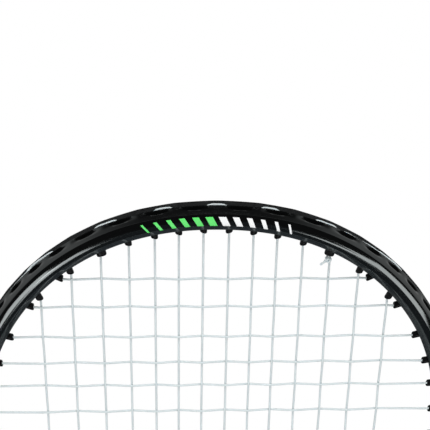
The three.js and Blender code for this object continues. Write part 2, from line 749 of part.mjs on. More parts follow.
// The butt cap: a cup over the core's end that flares out below the hand
function buttCap() {
  const flareWidth = gripWidth + BUTT_FLARE;
  const flareDepth = gripDepth + BUTT_FLARE;
  const body = solidOf(skin([
    octagonRing(flareWidth - BUTT_EDGE_RADIUS * 2, flareDepth - BUTT_EDGE_RADIUS * 2, 0),
    octagonRing(
      flareWidth - BUTT_EDGE_RADIUS * 0.6, flareDepth - BUTT_EDGE_RADIUS * 0.6, BUTT_EDGE_RADIUS * 0.3),
    octagonRing(flareWidth, flareDepth, BUTT_EDGE_RADIUS),
    octagonRing(flareWidth, flareDepth, BUTT_CAP_HEIGHT * 0.3),
    octagonRing(gripWidth + BUTT_FLARE * 0.4, gripDepth + BUTT_FLARE * 0.4, BUTT_CAP_HEIGHT * 0.62),
    octagonRing(gripWidth, gripDepth, BUTT_CAP_HEIGHT),
  ]));
  const pocket = octagonPrism(
    HANDLE_WIDTH + SEAT_GAP * 2, HANDLE_DEPTH + SEAT_GAP * 2, BUTT_FLOOR, BUTT_CAP_HEIGHT + CUT_OVERRUN);
  return body.subtract(pocket);
}

// The grip: one long tape wound up the core, each turn stepping over the edge of the one below.
// The rows of points follow the helix, so the step runs round the handle as one unbroken line.
function gripWrap() {
  const top = coreTop;
  const lead = GRIP_TURN_PITCH * 1.5;
  const turns = Math.ceil((top - gripBottom + lead * 2) / GRIP_TURN_PITCH);
  const stepShares = [[0, 0], [0.1, 1], [0.55, 0.75]];
  const corners = octagon(gripWidth, gripDepth);
  const rowPoint = (row, n) => {
    const [rise, fullness] = stepShares[row % stepShares.length];
    const turn = Math.floor(row / stepShares.length) + rise + n / corners.length;
    const shrink = 1 - ((1 - fullness) * GRIP_STEP * 2) / gripWidth;
    const height = gripBottom - lead + turn * GRIP_TURN_PITCH;
    return new THREE.Vector3(corners[n].x * shrink, corners[n].y * shrink, height);
  };
  const rows = turns * stepShares.length;
  const positions = [];
  for (let row = 0; row <= rows; row += 1) {
    for (let n = 0; n < corners.length; n += 1) positions.push(rowPoint(row, n));
  }
  const low = positions.length;
  positions.push(new THREE.Vector3(0, 0, gripBottom - lead - GRIP_TURN_PITCH));
  positions.push(new THREE.Vector3(0, 0, gripBottom - lead + (turns + 2) * GRIP_TURN_PITCH));
  const indices = [];
  const at = (row, n) => row * corners.length + n;
  const rowsPerTurn = stepShares.length;
  for (let row = 0; row <= rows; row += 1) {
    for (let n = 0; n < corners.length; n += 1) {
      const wraps = n === corners.length - 1;
      const rowAfter = wraps ? row + rowsPerTurn : row;
      const nAfter = (n + 1) % corners.length;
      if (row < rows && rowAfter + 1 <= rows) {
        indices.push(at(row, n), at(rowAfter, nAfter), at(rowAfter + 1, nAfter));
        indices.push(at(row, n), at(rowAfter + 1, nAfter), at(row + 1, n));
      }
    }
  }
  const lowLoop = [];
  for (let n = 0; n < corners.length; n += 1) lowLoop.push(at(0, n));
  for (let row = rowsPerTurn; row > 0; row -= 1) lowLoop.push(at(row, 0));
  lowLoop.forEach((a, k) => indices.push(low, lowLoop[(k + 1) % lowLoop.length], a));
  const seam = corners.length - 1;
  const topLoop = [];
  for (let n = 0; n <= seam; n += 1) topLoop.push(at(rows, n));
  for (let row = rows - 1; row >= rows - rowsPerTurn; row -= 1) topLoop.push(at(row, seam));
  topLoop.forEach((a, k) => indices.push(low + 1, a, topLoop[(k + 1) % topLoop.length]));
  const geometry = new THREE.BufferGeometry();
  const flat = positions.flatMap((p) => [p.x, p.y, p.z]);
  geometry.setAttribute("position", new THREE.Float32BufferAttribute(flat, 3));
  geometry.setIndex(indices);
  const slab = (bottom, height) => octagonPrism(gripWidth * 2, gripDepth * 2, bottom, bottom + height);
  const tall = lead + GRIP_TURN_PITCH * 4;
  const inside = octagonPrism(
    HANDLE_WIDTH + SEAT_GAP * 2, HANDLE_DEPTH + SEAT_GAP * 2, gripBottom - CUT_OVERRUN, top + CUT_OVERRUN);
  const ends = slab(gripBottom - tall, tall).add(slab(top, tall));
  return solidOf(geometry).subtract(ends).subtract(inside);
}

// The tape that holds the grip's upper end
function finishingTape() {
  const innerWidth = gripWidth + SEAT_GAP * 2;
  const innerDepth = gripDepth + SEAT_GAP * 2;
  const bottom = coreTop - FINISHING_TAPE_HEIGHT;
  const outer = octagonPrism(
    innerWidth + FINISHING_TAPE_THICKNESS * 2, innerDepth + FINISHING_TAPE_THICKNESS * 2, bottom, coreTop);
  return outer.subtract(octagonPrism(innerWidth, innerDepth, bottom - CUT_OVERRUN, coreTop + CUT_OVERRUN));
}

const range = (row, from, to) => Array.from({ length: to - from + 1 }, (_, k) => `${row}${from + k}`);
const strips = {
  crown_grommet_strip: range("top", 3, 10),
  left_shoulder_grommet_strip: ["top0", "top1", "left0", "left1", "left2"],
  right_shoulder_grommet_strip: ["top12", "top13", "right0", "right1", "right2"],
  left_upper_side_grommet_strip: range("left", 3, 7),
  right_upper_side_grommet_strip: range("right", 3, 7),
  left_lower_side_grommet_strip: range("left", 8, 12),
  right_lower_side_grommet_strip: range("right", 8, 12),
  left_corner_grommet_strip: ["left13", "bottom0", "left14"],
  right_corner_grommet_strip: ["right13", "bottom13", "right14"],
  left_lower_grommet_pair: ["left15", "bottom2"],
  right_lower_grommet_pair: ["right15", "bottom11"],
  left_throat_grommet_strip: range("bottom", 4, 6),
  right_throat_grommet_strip: range("bottom", 7, 9),
  upper_left_tie_off_grommet: ["top2"],
  upper_right_tie_off_grommet: ["top11"],
  lower_left_tie_off_grommet: ["bottom1"],
  lower_right_tie_off_grommet: ["bottom12"],
  throat_left_tie_off_grommet: ["bottom3"],
  throat_right_tie_off_grommet: ["bottom10"],
};

const racket = new THREE.Group();
racket.add(piece("head_frame", headFrame(), materials.gloss_black_frame));
for (const [name, served] of Object.entries(strips)) {
  racket.add(piece(name, grommetStrip(served), materials.black_moulding));
}
racket.add(piece("main_string", mainString(), materials.pale_string));
racket.add(piece("cross_string", crossString(), materials.pale_string));
racket.add(piece("throat_joint", throatJoint(), materials.black_moulding));
racket.add(piece("shaft", shaftTube(), materials.shaft_lacquer));
racket.add(piece("handle_cone", handleCone(), materials.black_moulding));
racket.add(piece("handle_core", handleCore(), materials.handle_core));
racket.add(piece("butt_cap", buttCap(), materials.black_moulding));
racket.add(piece("grip_wrap", gripWrap(), materials.grip_tape));
racket.add(piece("finishing_tape", finishingTape(), materials.finishing_tape));

export default racket;
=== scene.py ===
"""Looks of a crossminton racket that stands upright on its butt cap, in metres, in the frame of its solids."""
import logging
import math
from dataclasses import dataclass, field
from enum import Enum
from typing import Iterable, Mapping, Sequence

import bmesh
import bpy
import numpy as np
from mathutils import Matrix, Quaternion, Vector


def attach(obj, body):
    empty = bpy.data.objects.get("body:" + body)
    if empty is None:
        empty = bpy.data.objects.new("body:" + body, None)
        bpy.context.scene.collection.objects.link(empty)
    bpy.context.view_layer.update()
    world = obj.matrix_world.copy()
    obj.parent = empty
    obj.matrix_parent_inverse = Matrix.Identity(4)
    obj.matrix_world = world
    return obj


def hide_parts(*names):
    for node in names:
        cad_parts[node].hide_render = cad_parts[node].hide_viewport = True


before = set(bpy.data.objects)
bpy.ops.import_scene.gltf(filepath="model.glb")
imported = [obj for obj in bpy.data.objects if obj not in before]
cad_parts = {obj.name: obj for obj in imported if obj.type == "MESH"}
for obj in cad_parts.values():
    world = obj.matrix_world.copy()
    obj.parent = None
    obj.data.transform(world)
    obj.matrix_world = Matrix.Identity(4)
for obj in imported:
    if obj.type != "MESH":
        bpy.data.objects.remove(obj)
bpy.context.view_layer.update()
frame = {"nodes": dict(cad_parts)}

LOG = logging.getLogger("racket")
MM = 0.001
BODY = "root"
FULL_TURN = 2 * math.pi
FACETS = 72
Array = np.ndarray
Material = bpy.types.Material
Mesh = bpy.types.Mesh
Node = bpy.types.Node
Piece = bpy.types.Object
Socket = bpy.types.NodeSocket
Colour = tuple[float, float, float]
Place = tuple[float, float, float]


# Node trees and meshes


class NodeGraph:
    """Builds a node tree of any kind, one node at a time, with its sockets set or linked by name."""

    def __init__(self, tree: bpy.types.NodeTree) -> None:
        """Takes an empty tree."""
        self.tree = tree

    def add(self, kind: str, sockets: dict | None = None, **settings: object) -> Node:
        """Adds one node.

        Args:
            kind: the node's type name.
            sockets: values or output sockets by input name or number.
            settings: properties of the node itself.

        Returns:
            The new node.
        """
        node = self.tree.nodes.new(kind)
        for name, value in settings.items():
            setattr(node, name, value)
        for key, value in (sockets or {}).items():
            target = node.inputs[key]
            if isinstance(value, Socket):
                self.tree.links.new(value, target)
            else:
                target.default_value = value
        return node

    def link(self, value: Socket, node: Node, socket: str | int) -> None:
        """Links an output to a node's input."""
        self.tree.links.new(value, node.inputs[socket])

    def math(self, operation: str, first: object, second: object = 0.0, third: object = 0.0) -> Socket:
        """Adds a math node."""
        return self.add("ShaderNodeMath", {0: first, 1: second, 2: third}, operation=operation).outputs[0]

    def attribute(self, name: str, kind: str = "FLOAT") -> Socket:
        """Reads a named attribute in a geometry tree."""
        return self.add("GeometryNodeInputNamedAttribute", {"Name": name}, data_type=kind).outputs["Attribute"]

    def surface_value(self, name: str) -> Socket:
        """Reads a named attribute in a material."""
        return self.add("ShaderNodeAttribute", attribute_name=name).outputs["Fac"]


def new_object(name: str, mesh: Mesh) -> Piece:
    """Puts a mesh into the scene.

    Args:
        name: name of the object.
        mesh: its mesh.

    Returns:
        The object, at the origin.
    """
    mesh.name = name
    made = bpy.data.objects.new(name, mesh)
    bpy.context.scene.collection.objects.link(made)
    return made


def mesh_of(points: Array, faces: Sequence[Sequence[int]] = (), edges: Sequence[Sequence[int]] = ()) -> Mesh:
    """Makes a mesh from points and faces or edges.

    Args:
        points: n by 3 places.
        faces: corner numbers of each face.
        edges: end numbers of each edge.

    Returns:
        The mesh.
    """
    mesh = bpy.data.meshes.new("shape")
    places = [tuple(map(float, point)) for point in points]
    mesh.from_pydata(places, [tuple(map(int, edge)) for edge in edges], [tuple(map(int, face)) for face in faces])
    mesh.update()
    return mesh


def give(mesh: Mesh, name: str, values: Array) -> None:
    """Stores numbers or vectors on the points of a mesh.

    Args:
        mesh: the mesh.
        name: name of the attribute.
        values: one number or vector for each point.
    """
    flat = np.asarray(values, np.float32)
    kind, slot = ("FLOAT_VECTOR", "vector") if flat.ndim == 2 else ("FLOAT", "value")
    mesh.attributes.new(name, kind, "POINT").data.foreach_set(slot, flat.reshape(-1))


def loop_edges(count: int) -> list[tuple[int, int]]:
    """Lists the edges that join a number of points in a loop."""
    return [(k, (k + 1) % count) for k in range(count)]


def outline_mesh(points: Array) -> Mesh:
    """Makes a mesh of edges from the points of a flat closed outline."""
    count = len(points)
    return mesh_of(np.column_stack((points, np.zeros(count))), edges=loop_edges(count))


def ring_faces(rows: int, columns: int, closed: bool) -> list[tuple[int, ...]]:
    """Lists the faces of a skin over rows of closed rings.

    Args:
        rows: number of rings.
        columns: number of points in each ring.
        closed: whether the last ring joins the first, or both ends get a flat cap.

    Returns:
        The faces.
    """
    faces: list[tuple[int, ...]] = []
    for row in range(rows if closed else rows - 1):
        here, above = row * columns, ((row + 1) % rows) * columns
        for n in range(columns):
            m = (n + 1) % columns
            faces.append((here + n, here + m, above + m, above + n))
    if not closed:
        faces.append(tuple(range(columns))[::-1])
        faces.append(tuple((rows - 1) * columns + n for n in range(columns)))
    return faces


def facing_out(mesh: Mesh) -> Mesh:
    """Turns a closed mesh's faces outwards and joins its doubles.

    Args:
        mesh: the mesh, changed in place.

    Returns:
        The same mesh.
    """
    made = bmesh.new()
    made.from_mesh(mesh)
    bmesh.ops.remove_doubles(made, verts=made.verts, dist=1e-7)
    bmesh.ops.recalc_face_normals(made, faces=made.faces)
    made.to_mesh(mesh)
    made.free()
    return mesh


def smooth(piece: Piece, degrees: float) -> Piece:
    """Shades a piece smooth, with crisp edges where it turns by more than an angle.

    Args:
        piece: the piece.
        degrees: the angle.

    Returns:
        The same piece.
    """
    piece.data.shade_smooth()
    piece.data.set_sharp_from_angle(angle=math.radians(degrees))
    return piece


def baked(piece: Piece) -> Piece:
    """Turns a piece's live modifiers into a plain mesh and removes them.

    Args:
        piece: the piece, changed in place.

    Returns:
        The same piece.
    """
    evaluated = piece.evaluated_get(bpy.context.evaluated_depsgraph_get())
    mesh = bpy.data.meshes.new_from_object(evaluated)
    piece.modifiers.clear()
    piece.data = mesh
    return piece


def discard(*objects: Piece) -> None:
    """Removes helper objects from the scene."""
    for thing in objects:
        bpy.data.objects.remove(thing)


def cut(piece: Piece, cutter: Piece) -> Piece:
    """Cuts one closed piece with another, which is then removed.

    Args:
        piece: the piece that is cut.
        cutter: the shape that is taken away.

    Returns:
        The cut piece.
    """
    knife = piece.modifiers.new("cut", "BOOLEAN")
    knife.operation, knife.solver, knife.object = "DIFFERENCE", "EXACT", cutter
    baked(piece)
    discard(cutter)
    return piece


def seat(piece: Piece, nodes: Iterable[str]) -> Piece:
    """Puts a finished piece on the racket in the place of its solids.

    Args:
        piece: the piece.
        nodes: the solids that it stands for.

    Returns:
        The same piece.
    """
    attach(piece, BODY)
    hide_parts(*nodes)
    LOG.info("%s: %d faces for %s", piece.name, len(piece.data.polygons), ", ".join(nodes))
    return piece


class TreeInputs:
    """Sets the named inputs of a geometry tree's modifier by the identifiers of its sockets."""

    def __init__(self, tree: bpy.types.NodeTree) -> None:
        """Finds the identifiers.

        Args:
            tree: the tree whose inputs are set.
        """
        sockets = (item for item in tree.interface.items_tree if item.item_type == "SOCKET")
        self.identifiers = {item.name: item.identifier for item in sockets if item.in_out == "INPUT"}
        self.tree = tree

    def apply(self, piece: Piece, values: dict[str, object]) -> Piece:
        """Adds the tree to a piece with these values and turns the result into a plain mesh.

        Args:
            piece: the piece whose mesh the tree reads.
            values: input values by name.

        Returns:
            The same piece.
        """
        modifier = piece.modifiers.new(self.tree.name, "NODES")
        modifier.node_group = self.tree
        for name, value in values.items():
            modifier[self.identifiers[name]] = value
        return baked(piece)


def geometry_tree(name: str, inputs: dict[str, str]) -> tuple[NodeGraph, Node]:
    """Starts a geometry tree with a mesh input, named inputs and a mesh output.

    Args:
        name: name of the tree.
        inputs: socket types of the further inputs by name.

    Returns:
        The graph and its input node.
    """
    tree = bpy.data.node_groups.new(name, "GeometryNodeTree")
    tree.interface.new_socket("Geometry", in_out="OUTPUT", socket_type="NodeSocketGeometry")
    tree.interface.new_socket("Geometry", in_out="INPUT", socket_type="NodeSocketGeometry")
    for label, kind in inputs.items():
        tree.interface.new_socket(label, in_out="INPUT", socket_type=kind)
    graph = NodeGraph(tree)
    return graph, graph.add("NodeGroupInput")


def finish_tree(graph: NodeGraph, geometry: Socket, material: Socket) -> TreeInputs:
    """Ends a geometry tree with real geometry and its material.

    Args:
        graph: the tree.
        geometry: what it has made.
        material: the material input.

    Returns:
        The tree's inputs.
    """
    real = graph.add("GeometryNodeRealizeInstances", {"Geometry": geometry})
    dressed = graph.add("GeometryNodeSetMaterial", {"Geometry": real.outputs[0], "Material": material})
    graph.add("NodeGroupOutput", {0: dressed.outputs[0]})
    return TreeInputs(graph.tree)


# Finishes


class Ink(Enum):
    """Colours of the plain printed bars, in linear light."""

    GREEN = (0.115, 0.82, 0.155, 1.0)
    WHITE = (0.93, 0.94, 0.94, 1.0)


def opaque(colour: Colour, share: float = 1.0) -> tuple[float, ...]:
    """Gives a colour with full alpha, darker or lighter by a share."""
    return (*(share * part for part in colour), 1.0)


@dataclass(frozen=True)
class Finish:
    """Shared values of a finish: its name, colour and gloss."""

    name: str
    colour: Colour
    roughness: float
    specular: float

    def start(self) -> tuple[Material, NodeGraph, Node]:
        """Makes the material with its surface shader.

        Returns:
            The material, its graph and the surface shader.
        """
        material = bpy.data.materials.new(self.name)
        material.use_nodes = True
        material.diffuse_color = opaque(self.colour)
        surface = material.node_tree.nodes["Principled BSDF"]
        surface.inputs["Base Color"].default_value = opaque(self.colour)
        surface.inputs["Roughness"].default_value = self.roughness
        surface.inputs["Specular IOR Level"].default_value = self.specular
        return material, NodeGraph(material.node_tree), surface

    @staticmethod
    def grain(graph: NodeGraph, scale: float, detail: float = 2.0) -> Socket:
        """Adds noise on Object coordinates."""
        place = graph.add("ShaderNodeTexCoord").outputs["Object"]
        return graph.add("ShaderNodeTexNoise", {"Vector": place, "Scale": scale, "Detail": detail}).outputs["Fac"]

    @staticmethod
    def relief(graph: NodeGraph, surface: Node, height: Socket, depth: float, strength: float) -> None:
        """Adds relief from a height."""
        bump = graph.add("ShaderNodeBump", {"Height": height, "Distance": depth, "Strength": strength})
        graph.link(bump.outputs["Normal"], surface, "Normal")

    @staticmethod
    def between(graph: NodeGraph, factor: object, low: object, high: object) -> Socket:
        """Mixes two colours."""
        return graph.add("ShaderNodeMix", {0: factor, 6: low, 7: high}, data_type="RGBA").outputs[2]

    def mottled(self, graph: NodeGraph, factor: Socket, tint: float) -> Socket:
        """Mixes the colour with a darker or lighter tint of itself."""
        return self.between(graph, factor, opaque(self.colour), opaque(self.colour, tint))

    @staticmethod
    def spread(graph: NodeGraph, value: object, low: float, high: float) -> Socket:
        """Maps a value from 0..1 to a range."""
        return graph.add("ShaderNodeMapRange", {"Value": value, "To Min": low, "To Max": high}).outputs[0]


@dataclass(frozen=True)
class Lacquer(Finish):
    """Gloss black lacquer with a faint orange-peel skin and small changes in gloss."""

    peel: float = 0.006 * MM
    peel_scale: float = 520.0
    cloud_scale: float = 60.0
    cloud_gloss: tuple[float, float] = (0.75, 1.3)
    fleck_scale: float = 2600.0
    fleck_share: float = 0.25
    fleck_tint: float = 1.8
    # Painted reflection colour: a bluish tint on the lacquer's reflections, standing in for bluish surroundings
    sheen: tuple[float, ...] = (0.93, 1.0, 1.0, 1.0)

    def skin(self) -> tuple[Material, NodeGraph, Node, Socket, Socket]:
        """Makes the lacquer's skin, with its colour and gloss still to be linked.

        Returns:
            The material, its graph, the surface shader, the colour and the roughness.
        """
        material, graph, surface = self.start()
        # Painted reflection colour: the reflections are tinted bluish
        surface.inputs["Specular Tint"].default_value = self.sheen
        self.relief(graph, surface, self.grain(graph, self.peel_scale), self.peel, 0.6)
        matt, dull = (self.roughness * share for share in self.cloud_gloss)
        gloss = self.spread(graph, self.grain(graph, self.cloud_scale, 3.0), matt, dull)
        flecks = self.spread(graph, self.grain(graph, self.fleck_scale, 1.0), 0.0, self.fleck_share)
        return material, graph, surface, self.mottled(graph, flecks, self.fleck_tint), gloss

    def make(self) -> Material:
        """Makes the material.

        Returns:
            The material.
        """
        material, graph, surface, colour, gloss = self.skin()
        graph.link(colour, surface, "Base Color")
        graph.link(gloss, surface, "Roughness")
        return material


@dataclass(frozen=True)
class HoopLacquer(Lacquer):
    """The hoop's lacquer, with its matt channel drawn lighter, partly as painted light on the far wall, painted shade
    in its dents, softer inner side and printed bars.
    """

    # Matt, speckled channel; its colour is lighter than the lacquer, partly for its finish and partly as painted
    # light on the far wall
    matt_and_painted_light_channel_colour: Colour = (0.03, 0.031, 0.032)
    channel_roughness: float = 0.5
    speck_scale: float = 1300.0
    speck_tint: float = 0.6
    inner_roughness: float = 0.34
    # Painted shade in the front dents: the edges of their mask, and the weak reflection left inside them
    dent_shade_edge: tuple[float, float] = (0.3, 0.55)
    dent_shade_specular: float = 0.02
    bar_roughness: float = 0.35
    bar_pitch: float = 5.2 * MM
    bar_share: float = 0.6
    bar_taper: float = 0.36
    bar_lean: float = 0.5
    bar_reach: float = 29.0 * MM
    bar_low: float = -2.7 * MM
    bar_high: float = 1.2 * MM
    bar_height: float = 0.55

    def make(self) -> Material:
        """Makes the material.

        Returns:
            The material.
        """
        material, graph, surface, colour, gloss = self.skin()
        # Painted shade: the front dents' reflections are cut down so that they read as dark hollows
        depth = graph.math("MULTIPLY", graph.surface_value("dent"), graph.surface_value("scallop"))
        low, high = self.dent_shade_edge
        painted_dent_shade = graph.add("ShaderNodeMapRange", {"Value": depth, "From Min": low, "From Max": high}).outputs[0]
        graph.link(self.spread(graph, painted_dent_shade, self.specular, self.dent_shade_specular), surface, "Specular IOR Level")
        channel = graph.surface_value("channel")
        specks = self.spread(graph, self.grain(graph, self.speck_scale), 0.3, 1.0)
        # The channel's lighter colour is partly its matt finish and partly painted light on the far wall
        dull = self.between(graph, specks, opaque(self.matt_and_painted_light_channel_colour, self.speck_tint), opaque(self.matt_and_painted_light_channel_colour))
        mask, side = self.printed_bars(graph)
        ink = self.between(graph, side, Ink.GREEN.value, Ink.WHITE.value)
        colour = self.between(graph, mask, self.between(graph, channel, colour, dull), ink)
        matt_parts = (
            (channel, self.channel_roughness),
            (graph.surface_value("inside"), self.inner_roughness),
            (mask, self.bar_roughness),
        )
        for part, roughness in matt_parts:
            gloss = graph.math("MAXIMUM", gloss, graph.math("MULTIPLY", part, roughness))
        graph.link(colour, surface, "Base Color")
        graph.link(gloss, surface, "Roughness")
        return material

    def printed_bars(self, graph: NodeGraph) -> tuple[Socket, Socket]:
        """Draws a row of plain slanted bars on the front face at the tip of the head.

        Args:
            graph: the material's graph.

        Returns:
            The bars' mask, and which of the two inks each bar has.
        """
        run, level = graph.surface_value("from_tip"), graph.surface_value("level")
        place = graph.add("ShaderNodeSeparateXYZ", {0: graph.add("ShaderNodeTexCoord").outputs["Object"]}).outputs
        slanted = graph.math("ADD", run, graph.math("MULTIPLY", level, self.bar_lean))
        away = graph.math("ABSOLUTE", slanted)
        phase = graph.math("FRACT", graph.math("ADD", graph.math("DIVIDE", slanted, self.bar_pitch), 100.0))
        taper = -self.bar_taper * self.bar_share / self.bar_reach
        share = graph.math("MULTIPLY_ADD", away, taper, self.bar_share / 2)
        mask = graph.math("LESS_THAN", graph.math("ABSOLUTE", graph.math("SUBTRACT", phase, 0.5)), share)
        limits = (
            ("LESS_THAN", away, self.bar_reach),
            ("GREATER_THAN", level, self.bar_low),
            ("LESS_THAN", level, self.bar_high),
            ("LESS_THAN", place[1], 0.0),
            ("GREATER_THAN", place[2], self.bar_height),
        )
        for test, value, limit in limits:
            mask = graph.math("MULTIPLY", mask, graph.math(test, value, limit))
        return mask, graph.math("GREATER_THAN", slanted, 0.0)


@dataclass(frozen=True)
class Moulding(Finish):
    """Satin black moulded plastic with a fine even grain."""

    grain_scale: float = 1500.0
    grain_depth: float = 0.02 * MM
    grain_gloss: tuple[float, float] = (0.85, 1.2)
    cloud_scale: float = 90.0
    cloud_share: float = 0.6
    cloud_tint: float = 1.7

    def make(self) -> Material:
        """Makes the material.

        Returns:
            The material.
        """
        material, graph, surface = self.start()
        fine = self.grain(graph, self.grain_scale)
        self.relief(graph, surface, fine, self.grain_depth, 0.5)
        cloud = self.spread(graph, self.grain(graph, self.cloud_scale), 0.0, self.cloud_share)
        graph.link(self.mottled(graph, cloud, self.cloud_tint), surface, "Base Color")
        glossy, matt = (self.roughness * share for share in self.grain_gloss)
        graph.link(self.spread(graph, fine, glossy, matt), surface, "Roughness")
        return material


@dataclass(frozen=True)
class StringSkin(Finish):
    """Pale synthetic string with a wound skin that runs along its own length."""

    lay: float = 1.6 * MM
    strands: float = 6.0
    strand_share: float = 0.35
    strand_depth: float = 0.03 * MM
    soil_scale: float = 220.0
    soil_share: float = 0.3
    soil_tint: float = 0.82
    glow_share: float = 0.15
    glow_reach: tuple[float, float, float] = (0.6 * MM, 0.7 * MM, 0.8 * MM)

    def make(self) -> Material:
        """Makes the material.

        Returns:
            The material.
        """
        material, graph, surface = self.start()
        around = graph.add("ShaderNodeAttribute", attribute_name="around").outputs["Vector"]
        parts = graph.add("ShaderNodeSeparateXYZ", {0: around}).outputs
        angle = graph.math("ARCTAN2", parts[1], parts[0])
        laid = graph.math("DIVIDE", graph.surface_value("along"), self.lay)
        turn = graph.math("ADD", laid, graph.math("MULTIPLY", angle, self.strands / FULL_TURN))
        wave = graph.math("MULTIPLY_ADD", graph.math("SINE", graph.math("MULTIPLY", turn, FULL_TURN)), 0.5, 0.5)
        wound = self.mottled(graph, graph.math("MULTIPLY", wave, self.strand_share), self.soil_tint)
        soil = self.spread(graph, self.grain(graph, self.soil_scale, 3.0), 0.0, self.soil_share)
        graph.link(self.between(graph, soil, wound, opaque(self.colour, self.soil_tint)), surface, "Base Color")
        self.relief(graph, surface, wave, self.strand_depth, 0.6)
        surface.inputs["Subsurface Weight"].default_value = self.glow_share
        surface.inputs["Subsurface Radius"].default_value = self.glow_reach
        return material


@dataclass(frozen=True)
class GripSkin(Finish):
    """Soft matt grip tape with rows of small air holes, drawn darker inside as painted shade."""

    holes_around: float = 30.0
    holes_across: float = 5.0
    hole_share: float = 0.13
    hole_edge: tuple[float, float] = (0.75, 1.15)
    hole_shade_tint: float = 0.3
    pore_scale: float = 2400.0
    pore_share: float = 0.2
    pore_gloss: tuple[float, float] = (0.85, 1.15)
    wear_scale: float = 55.0
    wear_share: float = 0.5
    wear_tint: float = 1.6
    depth: float = 0.35 * MM
    sheen: float = 0.25

    def make(self) -> Material:
        """Makes the material.

        Returns:
            The material.
        """
        material, graph, surface = self.start()
        tape = graph.add("ShaderNodeUVMap", uv_map="tape").outputs[0]
        places = graph.add("ShaderNodeSeparateXYZ", {0: tape}).outputs
        row = graph.math("MULTIPLY", places[1], self.holes_across)
        odd = graph.math("MULTIPLY", graph.math("FLOORED_MODULO", graph.math("FLOOR", row), 2.0), 0.5)
        column = graph.math("ADD", graph.math("MULTIPLY", places[0], self.holes_around), odd)
        u = graph.math("SUBTRACT", graph.math("FRACT", column), 0.5)
        v = graph.math("SUBTRACT", graph.math("FRACT", row), 0.5)
        away = graph.math("SQRT", graph.math("ADD", graph.math("MULTIPLY", u, u), graph.math("MULTIPLY", v, v)))
        rim, land = (self.hole_share * share for share in self.hole_edge)
        edge = graph.add("ShaderNodeMapRange", {"Value": away, "From Min": rim, "From Max": land}).outputs[0]
        pores = self.grain(graph, self.pore_scale, 3.0)
        fine = graph.math("MULTIPLY", pores, self.pore_share)
        height = graph.math("ADD", graph.math("MULTIPLY", edge, 1.0 - self.pore_share), fine)
        self.relief(graph, surface, height, self.depth, 0.8)
        wear = self.spread(graph, self.grain(graph, self.wear_scale, 3.0), 0.0, self.wear_share)
        worn = self.mottled(graph, wear, self.wear_tint)
        # Painted shade: the air holes are drawn darker than the tape
        graph.link(self.between(graph, edge, opaque(self.colour, self.hole_shade_tint), worn), surface, "Base Color")
        glossy, matt = (self.roughness * share for share in self.pore_gloss)
        graph.link(self.spread(graph, pores, glossy, matt), surface, "Roughness")
        surface.inputs["Sheen Weight"].default_value = self.sheen
        return material


@dataclass(frozen=True)
class ElasticTape(Finish):
    """Ribbed elastic tape."""

    rib: float = 0.7 * MM
    rib_share: float = 0.4
    weave_scale: float = 1800.0
    weave_share: float = 0.7
    weave_tint: float = 0.7
    depth: float = 0.06 * MM

    def make(self) -> Material:
        """Makes the material.

        Returns:
            The material.
        """
        material, graph, surface = self.start()
        place = graph.add("ShaderNodeTexCoord").outputs["Object"]
        height = graph.add("ShaderNodeSeparateXYZ", {0: place}).outputs["Z"]
        rib = graph.math("SINE", graph.math("MULTIPLY", graph.math("DIVIDE", height, self.rib), FULL_TURN))
        weave = self.grain(graph, self.weave_scale)
        self.relief(graph, surface, graph.math("MULTIPLY_ADD", rib, self.rib_share, weave), self.depth, 0.7)
        share = self.spread(graph, weave, 0.0, self.weave_share)
        graph.link(self.mottled(graph, share, self.weave_tint), surface, "Base Color")
        return material


@dataclass(frozen=True)
class PlainWood(Finish):
    """Light wood with a straight grain up the handle."""

    ring_scale: float = 700.0
    ring_stretch: float = 0.06
    ring_tint: float = 0.55
    depth: float = 0.08 * MM

    def make(self) -> Material:
        """Makes the material.

        Returns:
            The material.
        """
        material, graph, surface = self.start()
        place = graph.add("ShaderNodeTexCoord").outputs["Object"]
        drawn = graph.add("ShaderNodeMapping", {"Vector": place, "Scale": (1.0, 1.0, self.ring_stretch)}).outputs[0]
        noise = {"Vector": drawn, "Scale": self.ring_scale, "Detail": 4.0}
        rings = graph.add("ShaderNodeTexNoise", noise).outputs["Fac"]
        graph.link(self.mottled(graph, rings, self.ring_tint), surface, "Base Color")
        self.relief(graph, surface, rings, self.depth, 0.5)
        return material


@dataclass
class Finishes:
    """Every finish of the racket."""

    frame: Material = field(init=False)
    grommet: Material = field(init=False)
    string: Material = field(init=False)
    moulding: Material = field(init=False)
    shaft: Material = field(init=False)
    core: Material = field(init=False)
    grip: Material = field(init=False)
    tape: Material = field(init=False)

    def __post_init__(self) -> None:
        """Makes the materials."""
        self.frame = HoopLacquer("frame_gloss", (0.002, 0.0021, 0.0022), 0.06, 0.58, peel=0.003 * MM).make()
        self.grommet = Moulding("grommet_plastic", (0.0032, 0.0034, 0.0037), 0.3, 0.1).make()
        self.string = StringSkin("string", (0.685, 0.755, 0.77), 0.32, 0.5).make()
        self.moulding = Moulding("moulding", (0.012, 0.0125, 0.013), 0.38, 0.4).make()
        self.shaft = Lacquer("shaft_lacquer", (0.004, 0.0042, 0.0046), 0.1, 0.5).make()
        self.core = PlainWood("handle_core", (0.52, 0.38, 0.22), 0.7, 0.3).make()
        self.grip = GripSkin("grip", (0.018, 0.0185, 0.0195), 0.78, 0.3).make()
        self.tape = ElasticTape("finishing_tape", (0.09, 0.62, 0.13), 0.55, 0.4).make()


# The head's middle line and the places of its string holes


def unit(vector: Array) -> Array:
    """Scales a vector, or each row of an array, to length one."""
    return vector / np.linalg.norm(vector, axis=-1, keepdims=True)


